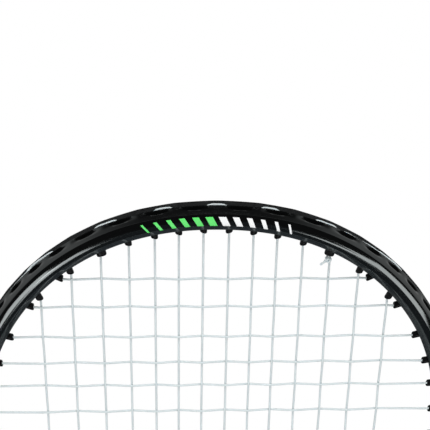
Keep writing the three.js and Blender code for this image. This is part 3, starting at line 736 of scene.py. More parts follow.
@dataclass(frozen=True)
class HeadSizes:
    """Sizes of the head's hoop, its scallops, grommets and string bed, in metres and shares."""

    inner_half_width: float = 97.0 * MM
    upper_reach: float = 100.8 * MM
    lower_reach: float = 135.4 * MM
    roundness: float = 2.13
    tube_width: float = 9.2 * MM
    tube_depth: float = 11.2 * MM
    channel_floor: float = 1.8 * MM
    channel_floor_width: float = 4.4 * MM
    bottom_height: float = 346.2 * MM
    saddle_width: float = 27.0 * MM
    scallop_share: float = 0.92
    scallop_depth: float = 0.85 * MM
    scallop_tip_spacing: float = 17.2 * MM
    scallop_pitches: tuple[tuple[int, float], ...] = ((4, 14.2 * MM), (5, 12.7 * MM), (99, 11.1 * MM))
    crown_depth: float = 0.65 * MM
    crown_reach: float = 62.0 * MM
    main_shares: tuple[float, ...] = (0.052, 0.152, 0.25, 0.356, 0.471, 0.595, 0.726)
    upper_shares: tuple[float, ...] = (0.764, 0.638, 0.498, 0.375, 0.263, 0.134, 0.005)
    lower_shares: tuple[float, ...] = (0.093, 0.19, 0.284, 0.374, 0.462, 0.549, 0.64, 0.753, 0.849)
    string_radius: float = 0.46 * MM
    string_level: float = 4.2 * MM
    mouth_level: float = 4.1 * MM
    bend_share: float = 0.6
    weave: float = 1.04 * MM
    lane: float = 1.3 * MM
    knot_diameter: float = 3.2 * MM
    knot_tail: float = 3.8 * MM
    protrusion: float = 3.1 * MM
    lean_share: float = 0.44
    tie_off_lean_share: float = 0.45
    tie_off_spacing: float = 1.2 * MM
    band_bottom: float = 2.1 * MM
    band_top: float = 2.6 * MM
    band_width: float = 3.7 * MM
    band_overhang: float = 1.8 * MM
    band_low_radius: float = 0.1 * MM
    band_top_radius: float = 0.22 * MM

    @property
    def half_width(self) -> float:
        """Half of the tube across the hoop."""
        return self.tube_width / 2

    @property
    def half_depth(self) -> float:
        """Half of the tube through the hoop."""
        return self.tube_depth / 2

    @property
    def widest_height(self) -> float:
        """Height of the head's widest line."""
        return self.bottom_height + self.lower_reach + self.half_width

    @property
    def tip_level(self) -> float:
        """Level of the barrels' tips."""
        return -self.half_width - self.protrusion

    @property
    def bend_level(self) -> float:
        """Level at which a string leaves its barrel."""
        return self.tip_level - self.string_radius * self.bend_share

    def bulge(self, value: Array) -> Array:
        """Raises a sine or cosine to the superellipse's power."""
        return np.sign(value) * np.abs(value) ** (2 / self.roundness)


@dataclass
class Hole:
    """One string hole of the hoop.

    Attributes:
        run: its distance along the hoop.
        own: how far its own string lies across the barrel from the middle.
        pull: the way its string runs in the bed, outwards.
        along: the way along the hoop.
        outward: the way out of the hoop.
        axis: the barrel's axis, outwards.
        across: the way across the barrel, along the hoop.
    """

    run: float
    own: float
    pull: Array
    along: Array
    outward: Array
    axis: Array
    across: Array

    @property
    def wide(self) -> float:
        """Half of the spacing of the two strings that a wide barrel takes, or zero."""
        return abs(self.own)

    @property
    def lean_run(self) -> float:
        """Distance along the hoop that the barrel gains for each metre of level."""
        return float(self.axis @ self.along) / float(self.axis @ self.outward)


class Hoop:
    """The head's middle line, read by the distance from its bottom up the +X side and over the tip."""

    SAMPLES = 1440
    HALVINGS = 40
    # The wide barrels, and the side of each on which its own string lies
    WIDE = {"top2": 1, "top11": -1, "bottom1": 1, "bottom3": 1, "bottom10": -1, "bottom12": -1}

    def __init__(self, sizes: HeadSizes) -> None:
        """Samples the line and finds every string hole.

        Args:
            sizes: the head's sizes.
        """
        self.sizes = sizes
        angles = np.linspace(-math.pi / 2, math.pi * 1.5, self.SAMPLES + 1)
        reach = np.where(np.sin(angles) > 0, sizes.upper_reach, sizes.lower_reach) + sizes.half_width
        self.x = sizes.bulge(np.cos(angles)) * (sizes.inner_half_width + sizes.half_width)
        self.z = sizes.bulge(np.sin(angles)) * reach + sizes.widest_height
        steps = np.hypot(np.diff(self.x), np.diff(self.z))
        self.runs = np.concatenate(([0.0], np.cumsum(steps)))
        self.length = float(self.runs[-1])
        self.tip = self.length / 2
        places = [-share for share in sizes.main_shares[::-1]] + list(sizes.main_shares)
        self.main_places = [share * sizes.inner_half_width for share in places]
        self.cross_places = [sizes.widest_height + s * sizes.upper_reach for s in sizes.upper_shares]
        self.cross_places += [sizes.widest_height - s * sizes.lower_reach for s in sizes.lower_shares]
        self.holes: dict[str, Hole] = {}
        quarter = self.length / 4
        up, right = np.array((0.0, 0.0, 1.0)), np.array((1.0, 0.0, 0.0))
        for i, x in enumerate(self.main_places):
            self.find(f"top{i}", self.tip - quarter, self.tip + quarter, up, 0, x)
            self.find(f"bottom{i}", -quarter, quarter, -up, 0, x)
        for j, z in enumerate(self.cross_places):
            self.find(f"right{j}", 0.0, self.tip, right, 2, z)
            self.find(f"left{j}", self.tip, self.length, -right, 2, z)
        for hole in self.holes.values():
            hole.run %= self.length

    def point(self, run: Array | float) -> Array:
        """Finds points of the middle line.

        Args:
            run: distances along it.

        Returns:
            The points.
        """
        wrapped = np.mod(run, self.length)
        x, z = np.interp(wrapped, self.runs, self.x), np.interp(wrapped, self.runs, self.z)
        return np.stack((x, np.zeros_like(x), z), axis=-1)

    def axes(self, run: Array | float) -> tuple[Array, Array]:
        """Finds the directions along and out of the hoop.

        Args:
            run: distances along it.

        Returns:
            The two directions.
        """
        reach = self.sizes.half_width / 4
        along = unit(self.point(np.add(run, reach)) - self.point(np.subtract(run, reach)))
        outward = np.stack((along[..., 2], np.zeros_like(along[..., 0]), -along[..., 0]), axis=-1)
        return along, outward

    def place(self, run: float, level: float, lane: float = 0.0) -> Array:
        """Finds a point of the tube."""
        return self.point(run) + self.axes(run)[1] * level + np.array((0.0, lane, 0.0))

    def hole_at(self, name: str, run: float, pull: Array) -> Hole:
        """Makes a hole at a distance along the hoop.

        Args:
            name: the hole's name.
            run: the distance.
            pull: the way its string runs, outwards.

        Returns:
            The hole.
        """
        side = self.WIDE.get(name, 0)
        along, outward = self.axes(run)
        share = self.sizes.tie_off_lean_share if side else self.sizes.lean_share
        lean = math.acos(max(-1.0, min(1.0, float(outward @ pull)))) * share
        axis = outward * math.cos(lean) + along * (math.copysign(1.0, float(along @ pull)) * math.sin(lean))
        across = unit(along - axis * float(along @ axis))
        return Hole(run, side * self.sizes.tie_off_spacing / 2, pull, along, outward, axis, across)

    def barrel_point(self, hole: Hole, level: float, sideways: float = 0.0) -> Array:
        """Finds a point on a barrel's line."""
        reach = level / float(hole.axis @ hole.outward)
        return self.point(hole.run) + hole.axis * reach + hole.across * sideways

    def find(self, name: str, low: float, high: float, pull: Array, part: int, wanted: float) -> None:
        """Finds the place where a string leaves its barrel's tip on its own line, and keeps the hole.

        Args:
            name: the hole's name.
            low: start of the stretch that is searched.
            high: its end.
            pull: the way the string runs, outwards.
            part: which coordinate the string's line holds still.
            wanted: the line's coordinate.
        """

        def miss(run: float) -> float:
            """Tells by how much a string from this place misses its line."""
            hole = self.hole_at(name, run, pull)
            return float(self.barrel_point(hole, self.sizes.bend_level, hole.own)[part]) - wanted

        rising = miss(high) > miss(low)
        for _ in range(self.HALVINGS):
            middle = (low + high) / 2
            if (miss(middle) > 0) == rising:
                high = middle
            else:
                low = middle
        self.holes[name] = self.hole_at(name, (low + high) / 2, pull)

    def scallops(self) -> list[float]:
        """Lists the middles of the scallops along the hoop.

        Returns:
            Their distances.
        """
        runs: list[float] = []
        away = self.sizes.scallop_tip_spacing / 2
        while away < self.tip - self.sizes.saddle_width:
            runs += [self.tip - away, self.tip + away]
            away += next(pitch for count, pitch in self.sizes.scallop_pitches if len(runs) / 2 < count)
        return sorted(runs)


def rounded(
    corners: Sequence[Sequence[float]], radii: Sequence[float], steps: int, spans: Mapping[int, int] | None = None
) -> Array:
    """Rounds the corners of a closed polygon.

    Args:
        corners: its corners.
        radii: the radius at each corner.
        steps: spans of each rounded corner.
        spans: spans of the straight part after a corner, where it has more than one.

    Returns:
        The points of the rounded polygon.
    """
    points = np.asarray(corners, float)
    made: list[Array] = []
    for k, corner in enumerate(points):
        before, after = points[k - 1] - corner, points[(k + 1) % len(points)] - corner
        a, b = unit(before), unit(after)
        half = math.acos(max(-1.0, min(1.0, float(a @ b)))) / 2
        room = 0.48 * float(min(np.linalg.norm(before), np.linalg.norm(after)))
        reach = min(radii[k] / math.tan(half), room)
        start, end = corner + a * reach, corner + b * reach
        many = (spans or {}).get((k - 1) % len(points), 1)
        made += [made[-1] + (start - made[-1]) * part / many for part in range(1, many)]
        for step in range(steps + 1):
            t = step / steps
            made.append((1 - t) ** 2 * start + 2 * t * (1 - t) * corner + t**2 * end)
    return np.array(made)


class TubeSection:
    """The section of the head's tube, with rounded edges and a channel between two lips.

    Its half goes from the inner side past the widest point and the shoulder to the lip, in shares of the tube.
    """

    SHARES = ((-1.09, 0.38), (-0.52, 0.94), (0.0, 1.0), (0.5, 0.94), (1.038, 0.39))
    RADII = (0.8 * MM, 0.8 * MM, 9.0 * MM, 1.0 * MM, 0.16 * MM)
    CHANNEL_RADIUS = 0.5 * MM
    GROWN = 0.12 * MM
    CORNER_STEPS = 5
    SHOULDER_STEPS = 9
    INSIDE = (0.5, 1.1)
    # Depth of a dent, in shares, over the way from the lip to the shoulder
    DENT = ((0.02, 0.28, 0.62), (0.0, 1.0, 0.0))

    def __init__(self, sizes: HeadSizes, grown: float = GROWN, filled: bool = False) -> None:
        """Works out the section's points.

        Args:
            sizes: the head's sizes.
            grown: how far the section is grown.
            filled: whether it has no channel.
        """
        half = [(u * (sizes.half_width + grown), v * (sizes.half_depth + grown)) for u, v in self.SHARES]
        shoulder, lip = np.array(half[3]), np.array(half[4])
        radii = list(self.RADII)
        if not filled:
            half.append((sizes.channel_floor, sizes.channel_floor_width / 2))
            radii.append(self.CHANNEL_RADIUS)
        corners = half + [(u, -v) for u, v in half[::-1]]
        spans = {3: self.SHOULDER_STEPS, len(corners) - 5: self.SHOULDER_STEPS}
        self.points = rounded(corners, radii + radii[::-1], self.CORNER_STEPS, spans)
        level, side = self.points[:, 0], np.sign(self.points[:, 1])
        outside = np.abs(self.points[:, 1]) > lip[1]
        self.dent = np.interp((lip[0] - level) / (lip[0] - shoulder[0]), *self.DENT) * outside
        self.inside = np.interp(-level / sizes.half_width, self.INSIDE, (0.0, 1.0))
        self.channel = ((level > 0) & ~outside).astype(float)
        run, rise = unit(shoulder - lip)
        depth = self.dent * sizes.scallop_depth
        self.scallop = np.stack((-rise * depth, run * side * depth), axis=-1)

    def guide(self, name: str) -> Piece:
        """Makes the section as a loop of edges for a geometry tree.

        Args:
            name: name of the helper.

        Returns:
            The helper object.
        """
        mesh = outline_mesh(self.points)
        values = {
            "scallop_out": self.scallop[:, 0],
            "scallop_back": self.scallop[:, 1],
            "inside": self.inside,
            "channel": self.channel,
            "dent": self.dent * (self.points[:, 1] < 0),
            "level": self.points[:, 0],
        }
        for label, numbers in values.items():
            give(mesh, label, numbers)
        return new_object(name, mesh)


# Sweeps and repeated parts


class Merge(Enum):
    """Ways to merge two solids."""

    JOIN = "UNION"
    CUT = "DIFFERENCE"


def swept(graph: NodeGraph, path: Socket, section: Socket, caps: bool) -> Socket:
    """Sweeps a section object along a path of edges that carries its outward direction.

    Args:
        graph: the tree.
        path: the path's geometry.
        section: the section object's socket.
        caps: whether the ends are closed.

    Returns:
        The swept geometry.
    """
    curve = graph.add("GeometryNodeMeshToCurve", {"Mesh": path}).outputs[0]
    outward = graph.attribute("outward", "FLOAT_VECTOR")
    turned = graph.add("GeometryNodeSetCurveNormal", {"Curve": curve, "Normal": outward}, mode="FREE").outputs[0]
    outline = graph.add("GeometryNodeObjectInfo", {"Object": section}).outputs["Geometry"]
    profile = graph.add("GeometryNodeMeshToCurve", {"Mesh": outline}).outputs[0]
    sockets = {"Curve": turned, "Profile Curve": profile, "Fill Caps": caps}
    return graph.add("GeometryNodeCurveToMesh", sockets).outputs[0]


def repeated(graph: NodeGraph, given: Node, form: str) -> Socket:
    """Puts a form on every narrow station and its wide form on every wide one.

    Args:
        graph: the tree.
        given: the tree's input node, with the stations and both forms.
        form: the narrow form's input.

    Returns:
        The real geometry of all copies.
    """
    points = graph.add("GeometryNodeObjectInfo", {"Object": given.outputs["Stations"]}).outputs["Geometry"]
    turn = graph.add("FunctionNodeEulerToRotation", {0: graph.attribute("turn", "FLOAT_VECTOR")}).outputs[0]
    placed = {"Points": points, "Rotation": turn, "Scale": graph.attribute("stretch", "FLOAT_VECTOR")}
    wide = graph.add("FunctionNodeCompare", {0: graph.attribute("wide"), 1: 0.5}, operation="GREATER_THAN").outputs[0]
    narrow = graph.add("FunctionNodeBooleanMath", {0: wide}, operation="NOT").outputs[0]
    both = graph.add("GeometryNodeJoinGeometry")
    for chosen, source in ((narrow, form), (wide, f"Wide {form}")):
        shape = graph.add("GeometryNodeObjectInfo", {"Object": given.outputs[source], "As Instance": True})
        sockets = {**placed, "Selection": chosen, "Instance": shape.outputs["Geometry"]}
        graph.link(graph.add("GeometryNodeInstanceOnPoints", sockets).outputs[0], both, 0)
    return graph.add("GeometryNodeRealizeInstances", {"Geometry": both.outputs[0]}).outputs[0]


def merged(graph: NodeGraph, way: Merge, first: Socket, second: Socket) -> Socket:
    """Joins two solids or cuts one with the other.

    Args:
        graph: the tree.
        way: whether they are joined or cut.
        first: the first solid.
        second: the second solid.

    Returns:
        The result.
    """
    node = graph.add("GeometryNodeMeshBoolean", operation=way.value, solver="MANIFOLD")
    graph.link(first, node, "Mesh 1" if way is Merge.CUT else "Mesh 2")
    graph.link(second, node, "Mesh 2")
    return node.outputs[0]


def hoop_tree() -> TreeInputs:
    """Makes the tree of the scalloped, drilled hoop.

    Returns:
        The tree's inputs.
    """
    kinds = {name: "NodeSocketObject" for name in ("Section", "Stations", "Drill", "Wide Drill")}
    kinds |= {"Scallops": "NodeSocketFloat", "Material": "NodeSocketMaterial"}
    graph, given = geometry_tree("scalloped_hoop", kinds)
    tube = swept(graph, given.outputs["Geometry"], given.outputs["Section"], False)
    depth = graph.math("MULTIPLY", graph.attribute("scallop"), given.outputs["Scallops"])
    fuller = graph.math("MULTIPLY", graph.attribute("fuller"), graph.attribute("inside"))
    out = graph.math("MULTIPLY_ADD", depth, graph.attribute("scallop_out"), fuller)
    rise = graph.math("MULTIPLY", depth, graph.attribute("scallop_back"))
    back = graph.add("ShaderNodeCombineXYZ", {"Y": rise}).outputs[0]
    moves = {0: graph.attribute("outward", "FLOAT_VECTOR"), 1: out, 2: back}
    offset = graph.add("ShaderNodeVectorMath", moves, operation="MULTIPLY_ADD").outputs[0]
    shaped = graph.add("GeometryNodeSetPosition", {"Geometry": tube, "Offset": offset}).outputs[0]
    drilled = merged(graph, Merge.CUT, shaped, repeated(graph, given, "Drill"))
    return finish_tree(graph, drilled, given.outputs["Material"])


def grommet_tree() -> TreeInputs:
    """Makes the tree of a band with barrels and their bores.

    Returns:
        The tree's inputs.
    """
    names = ("Section", "Stations", "Barrel", "Wide Barrel", "Bore", "Wide Bore")
    kinds = {name: "NodeSocketObject" for name in names} | {"Material": "NodeSocketMaterial"}
    graph, given = geometry_tree("grommet_strip", kinds)
    band = swept(graph, given.outputs["Geometry"], given.outputs["Section"], True)
    whole = merged(graph, Merge.JOIN, band, repeated(graph, given, "Barrel"))
    bored = merged(graph, Merge.CUT, whole, repeated(graph, given, "Bore"))
    return finish_tree(graph, bored, given.outputs["Material"])


def string_tree() -> TreeInputs:
    """Makes the tree of a round string with bends of given radii.

    Returns:
        The tree's inputs.
    """
    kinds = {"Radius": "NodeSocketFloat", "Sides": "NodeSocketInt", "Bend Steps": "NodeSocketInt"}
    graph, given = geometry_tree("string_run", {**kinds, "Material": "NodeSocketMaterial"})
    curve = graph.add("GeometryNodeMeshToCurve", {"Mesh": given.outputs["Geometry"]}).outputs[0]
    bends = {"Curve": curve, "Count": given.outputs["Bend Steps"], "Radius": graph.attribute("bend")}
    bent = graph.add("GeometryNodeFilletCurve", {**bends, "Limit Radius": True}, mode="POLY").outputs[0]
    shape = {"Resolution": given.outputs["Sides"], "Radius": given.outputs["Radius"]}
    ring = graph.add("GeometryNodeCurvePrimitiveCircle", shape).outputs[0]
    length = graph.add("GeometryNodeSplineParameter").outputs["Length"]
    around = graph.add("GeometryNodeInputPosition").outputs[0]
    kept = []
    for line, name, value, kind in ((bent, "along", length, "FLOAT"), (ring, "around", around, "FLOAT_VECTOR")):
        sockets = {"Geometry": line, "Name": name, "Value": value}
        kept.append(graph.add("GeometryNodeStoreNamedAttribute", sockets, data_type=kind, domain="POINT").outputs[0])
    tube = graph.add("GeometryNodeCurveToMesh", {"Curve": kept[0], "Profile Curve": kept[1], "Fill Caps": True})
    return finish_tree(graph, tube.outputs[0], given.outputs["Material"])


# The head


def ring_solid(rings: Sequence[Array], closed: bool = False) -> Mesh:
    """Makes a closed skin over rings of points."""
    return facing_out(mesh_of(np.concatenate(rings), ring_faces(len(rings), len(rings[0]), closed)))


def circle(radius: float, height: float, sides: int) -> Array:
    """Makes a level round ring."""
    angles = np.arange(sides) / sides * FULL_TURN
    return np.stack((np.cos(angles) * radius, np.sin(angles) * radius, np.full(sides, height)), axis=-1)


def oblong(radius: float, stretch: float, height: float, sides: int, slant: float = 0.0) -> Array:
    """Makes a level ring that is round, or drawn out along X.

    Args:
        radius: radius of its round ends.
        stretch: half of the distance between them.
        height: height of the ring.
        sides: number of its points.
        slant: how far its +X end hangs below the middle.

    Returns:
        The ring.
    """
    angles = (np.arange(sides) + 0.5) / sides * FULL_TURN
    x = np.cos(angles) * radius + np.sign(np.cos(angles)) * stretch
    return np.stack((x, np.sin(angles) * radius, height - slant * np.cos(angles)), axis=-1)


@dataclass(frozen=True)
class BarrelSizes:
    """Outlines of a grommet's barrel, bore and drilled hole: radii and levels in millimetres, and shares of slant."""

    sides: int = 28
    outside: tuple[tuple[float, float, float], ...] = (
        (0.84, -7.72, 1.0),
        (1.12, -7.71, 1.0),
        (1.29, -7.60, 0.9),
        (1.38, -7.40, 0.8),
        (1.43, -7.05, 0.5),
        (1.44, -6.40, 0.2),
        (1.44, -5.60, 0.0),
        (1.44, -3.00, 0.0),
        (1.44, 1.70, 0.0),
        (1.50, 2.05, 0.0),
        (1.66, 2.25, 0.0),
        (1.60, 2.30, 0.0),
    )
    bore: tuple[tuple[float, float], ...] = (
        (1.05, -9.0),
        (0.86, -7.95),
        (0.74, -7.4),
        (0.78, -4.0),
        (1.0, 1.6),
        (1.24, 2.5),
        (1.6, 2.9),
    )
    drill: tuple[tuple[float, float], ...] = ((1.56, -12.0), (1.56, 12.0))
    slant: float = 0.35 * MM

    def barrel(self, wide: float) -> Mesh:
        """Makes the barrel without its bore."""
        slant = 0.0 if wide else self.slant
        return ring_solid([oblong(r * MM, wide, z * MM, self.sides, slant * s) for r, z, s in self.outside])

    def pin(self, outline: Sequence[tuple[float, float]], wide: float) -> Mesh:
        """Makes a pin that cuts a bore or a drilled hole."""
        return ring_solid([oblong(r * MM, wide, z * MM, self.sides) for r, z in outline])


class Head:
    """The hoop, its grommets, and the two strings."""

    RINGS = 900
    BAND_STEP = 0.9 * MM
    # The holes that each grommet lines
    STRIPS = {
        "crown_grommet_strip": [f"top{k}" for k in range(3, 11)],
        "left_shoulder_grommet_strip": ["top0", "top1", "left0", "left1", "left2"],
        "right_shoulder_grommet_strip": ["top12", "top13", "right0", "right1", "right2"],
        "left_upper_side_grommet_strip": [f"left{k}" for k in range(3, 8)],
        "right_upper_side_grommet_strip": [f"right{k}" for k in range(3, 8)],
        "left_lower_side_grommet_strip": [f"left{k}" for k in range(8, 13)],
        "right_lower_side_grommet_strip": [f"right{k}" for k in range(8, 13)],
        "left_corner_grommet_strip": ["left13", "bottom0", "left14"],
        "right_corner_grommet_strip": ["right13", "bottom13", "right14"],
        "left_lower_grommet_pair": ["left15", "bottom2"],
        "right_lower_grommet_pair": ["right15", "bottom11"],
        "left_throat_grommet_strip": ["bottom4", "bottom5", "bottom6"],
        "right_throat_grommet_strip": ["bottom7", "bottom8", "bottom9"],
        "upper_left_tie_off_grommet": ["top2"],
        "upper_right_tie_off_grommet": ["top11"],
        "lower_left_tie_off_grommet": ["bottom1"],
        "lower_right_tie_off_grommet": ["bottom12"],
        "throat_left_tie_off_grommet": ["bottom3"],
        "throat_right_tie_off_grommet": ["bottom10"],
    }

    def __init__(self, sizes: HeadSizes, finishes: Finishes) -> None:
        """Works out the hoop.

        Args:
            sizes: the head's sizes.
            finishes: the racket's finishes.
        """
        self.sizes = sizes
        self.finishes = finishes
        self.hoop = Hoop(sizes)
        self.barrels = BarrelSizes()
        self.helpers: dict[str, Piece] = {}

    def build(self) -> list[Piece]:
        """Builds every piece of the head.

        Returns:
            The pieces.
        """
        barrels = self.barrels
        for size, spread in (("", 0.0), ("Wide ", self.sizes.tie_off_spacing / 2)):
            forms = {
                "Barrel": barrels.barrel(spread),
                "Bore": barrels.pin(barrels.bore, spread),
                "Drill": barrels.pin(barrels.drill, spread),
            }
            for form, mesh in forms.items():
                self.helpers[f"{size}{form}"] = new_object(f"{size}{form}", mesh)
        pieces = [self.frame()]
        self.helpers["Section"] = self.band_section()
        tree = grommet_tree()
        pieces += [self.strip(tree, name, served) for name, served in self.STRIPS.items()]
        pieces += Stringing(self.hoop, self.finishes.string).build()
        discard(*self.helpers.values())
        return pieces

    def stations(self, names: Iterable[str]) -> Piece:
        """Makes a point for each hole, with the turn and stretch of its barrel.

        Args:
            names: the holes' names.

        Returns:
            The helper object.
        """
        holes = [self.hoop.holes[name] for name in names]
        turns, stretches = [], []
        for hole in holes:
            side = math.copysign(1.0, float(hole.across @ hole.pull)) if not hole.wide else 1.0
            z, x = Vector(hole.axis), Vector(hole.across * side)
            turns.append(tuple(Matrix((x, z.cross(x), z)).transposed().to_euler()))
            stretches.append((1.0, 1.0, 1.0 / float(hole.axis @ hole.outward)))
        mesh = mesh_of(np.array([self.hoop.point(hole.run) for hole in holes]))
        give(mesh, "turn", np.array(turns))
        give(mesh, "stretch", np.array(stretches))
        give(mesh, "wide", np.array([1.0 if hole.wide else 0.0 for hole in holes]))
        return new_object("stations", mesh)

    def path(self, runs: Array, closed: bool) -> Mesh:
        """Makes a path along the hoop's middle line that knows its outward direction.

        Args:
            runs: distances along the hoop.
            closed: whether the path is a loop.

        Returns:
            The path as a mesh of edges.
        """
        edges = loop_edges(len(runs))
        mesh = mesh_of(self.hoop.point(runs), edges=edges if closed else edges[:-1])
        give(mesh, "outward", self.hoop.axes(runs)[1])
        return mesh

    def frame(self) -> Piece:
        """Builds the hoop.

        Returns:
            The piece.
        """
        sizes, tip = self.sizes, self.hoop.tip
        runs = np.arange(self.RINGS) * self.hoop.length / self.RINGS
        mesh = self.path(runs, True)
        middles = np.array(self.hoop.scallops())
        halves = np.minimum(np.gradient(middles), sizes.scallop_tip_spacing) * sizes.scallop_share / 2
        away = np.min(np.abs(runs[:, None] - middles) / halves, axis=1)
        give(mesh, "scallop", 1 - np.minimum(away, 1) ** 2)
        give(mesh, "from_tip", tip - runs)
        give(mesh, "fuller", -sizes.crown_depth * np.exp(-(((runs - tip) / sizes.crown_reach) ** 2)))
        section = TubeSection(sizes).guide("tube_section")
        stations = self.stations(self.hoop.holes)
        tree = hoop_tree()
        values = {key: helper for key, helper in self.helpers.items() if key in tree.identifiers}
        values |= {"Section": section, "Stations": stations, "Scallops": 1.0, "Material": self.finishes.frame}
        piece = tree.apply(new_object("hoop", mesh), values)
        discard(section, stations)
        facing_out(piece.data)
        return seat(smooth(piece, 32.0), ["head_frame"])

    def band_section(self) -> Piece:
        """Makes the section of the grommets' band.

        Returns:
            The helper object.
        """
        sizes = self.sizes
        half, low, high = sizes.band_width / 2, sizes.band_bottom, sizes.band_top
        radii = [sizes.band_low_radius, sizes.band_top_radius, sizes.band_top_radius, sizes.band_low_radius]
        points = rounded([(low, -half), (high, -half), (high, half), (low, half)], radii, 3)
        return new_object("band_section", outline_mesh(points))

    def strip(self, tree: TreeInputs, name: str, served: Sequence[str]) -> Piece:
        """Builds one grommet strip.

        Args:
            tree: the strip's geometry tree.
            name: the solid that it replaces.
            served: the holes that it lines.

        Returns:
            The piece.
        """
        holes = sorted((self.hoop.holes[hole] for hole in served), key=lambda hole: hole.run)
        overhang = self.sizes.band_overhang + holes[0].wide
        mouths = [hole.run + hole.lean_run * self.sizes.band_top for hole in holes]
        first, last = mouths[0] - overhang, mouths[-1] + overhang
        runs = np.linspace(first, last, max(6, round((last - first) / self.BAND_STEP)))
        stations = self.stations(served)
        values = {key: helper for key, helper in self.helpers.items() if key in tree.identifiers}
        piece = tree.apply(
            new_object(f"{name}_moulding", self.path(runs, False)),
            {**values, "Stations": stations, "Material": self.finishes.grommet},
        )
        discard(stations)
        facing_out(piece.data)
        return seat(smooth(piece, 38.0), [name])


@dataclass
class Route:
    """The way of one string: its points, and the bend radius at each."""

    points: list[Array] = field(default_factory=list)
    bends: list[float] = field(default_factory=list)

    def add(self, points: Iterable[Array], bend: float) -> None:
        """Adds points that share a bend radius.

        Args:
            points: the points.
            bend: the radius.
        """
        for point in points:
            self.points.append(point)
            self.bends.append(bend)


@dataclass(frozen=True)
class BendSizes:
    """Bends of the strings, their room at the barrels' mouths, and their knots, in metres and shares."""

    tip: float = 1.1 * MM
    mouth: float = 3.6 * MM
    passing: float = 1.5 * MM
    bed: float = 9.0 * MM
    tail: float = 0.4 * MM
    passing_room: float = 2.6
    settling: float = 6.0
    knot_ring: float = 0.78 * MM
    knot_wave: float = 0.38 * MM
    knot_height: float = 0.62 * MM
    knot_points: int = 48
    knot_place: tuple[float, float] = (0.5, 0.3)
    knot_side: float = 0.9
    tail_way: tuple[float, float, float] = (0.8, 0.2, 0.5)


@dataclass(frozen=True)
class StringPlan:
    """How one string runs.

    Attributes:
        name: name of its piece.
        node: the solid that it replaces.
        ends: rows of holes at the start and at the end of its first run through the bed.
        passed: rows of holes whose mouths it passes in the channel.
        side: side of the channel that it keeps to, towards the back or the front.
        knots: holes in which it starts and ends.
        heading: direction of its first run.
    """

    name: str
    node: str
    ends: tuple[str, str]
    passed: tuple[str, str]
    side: float
    knots: tuple[str, str]
    heading: Place


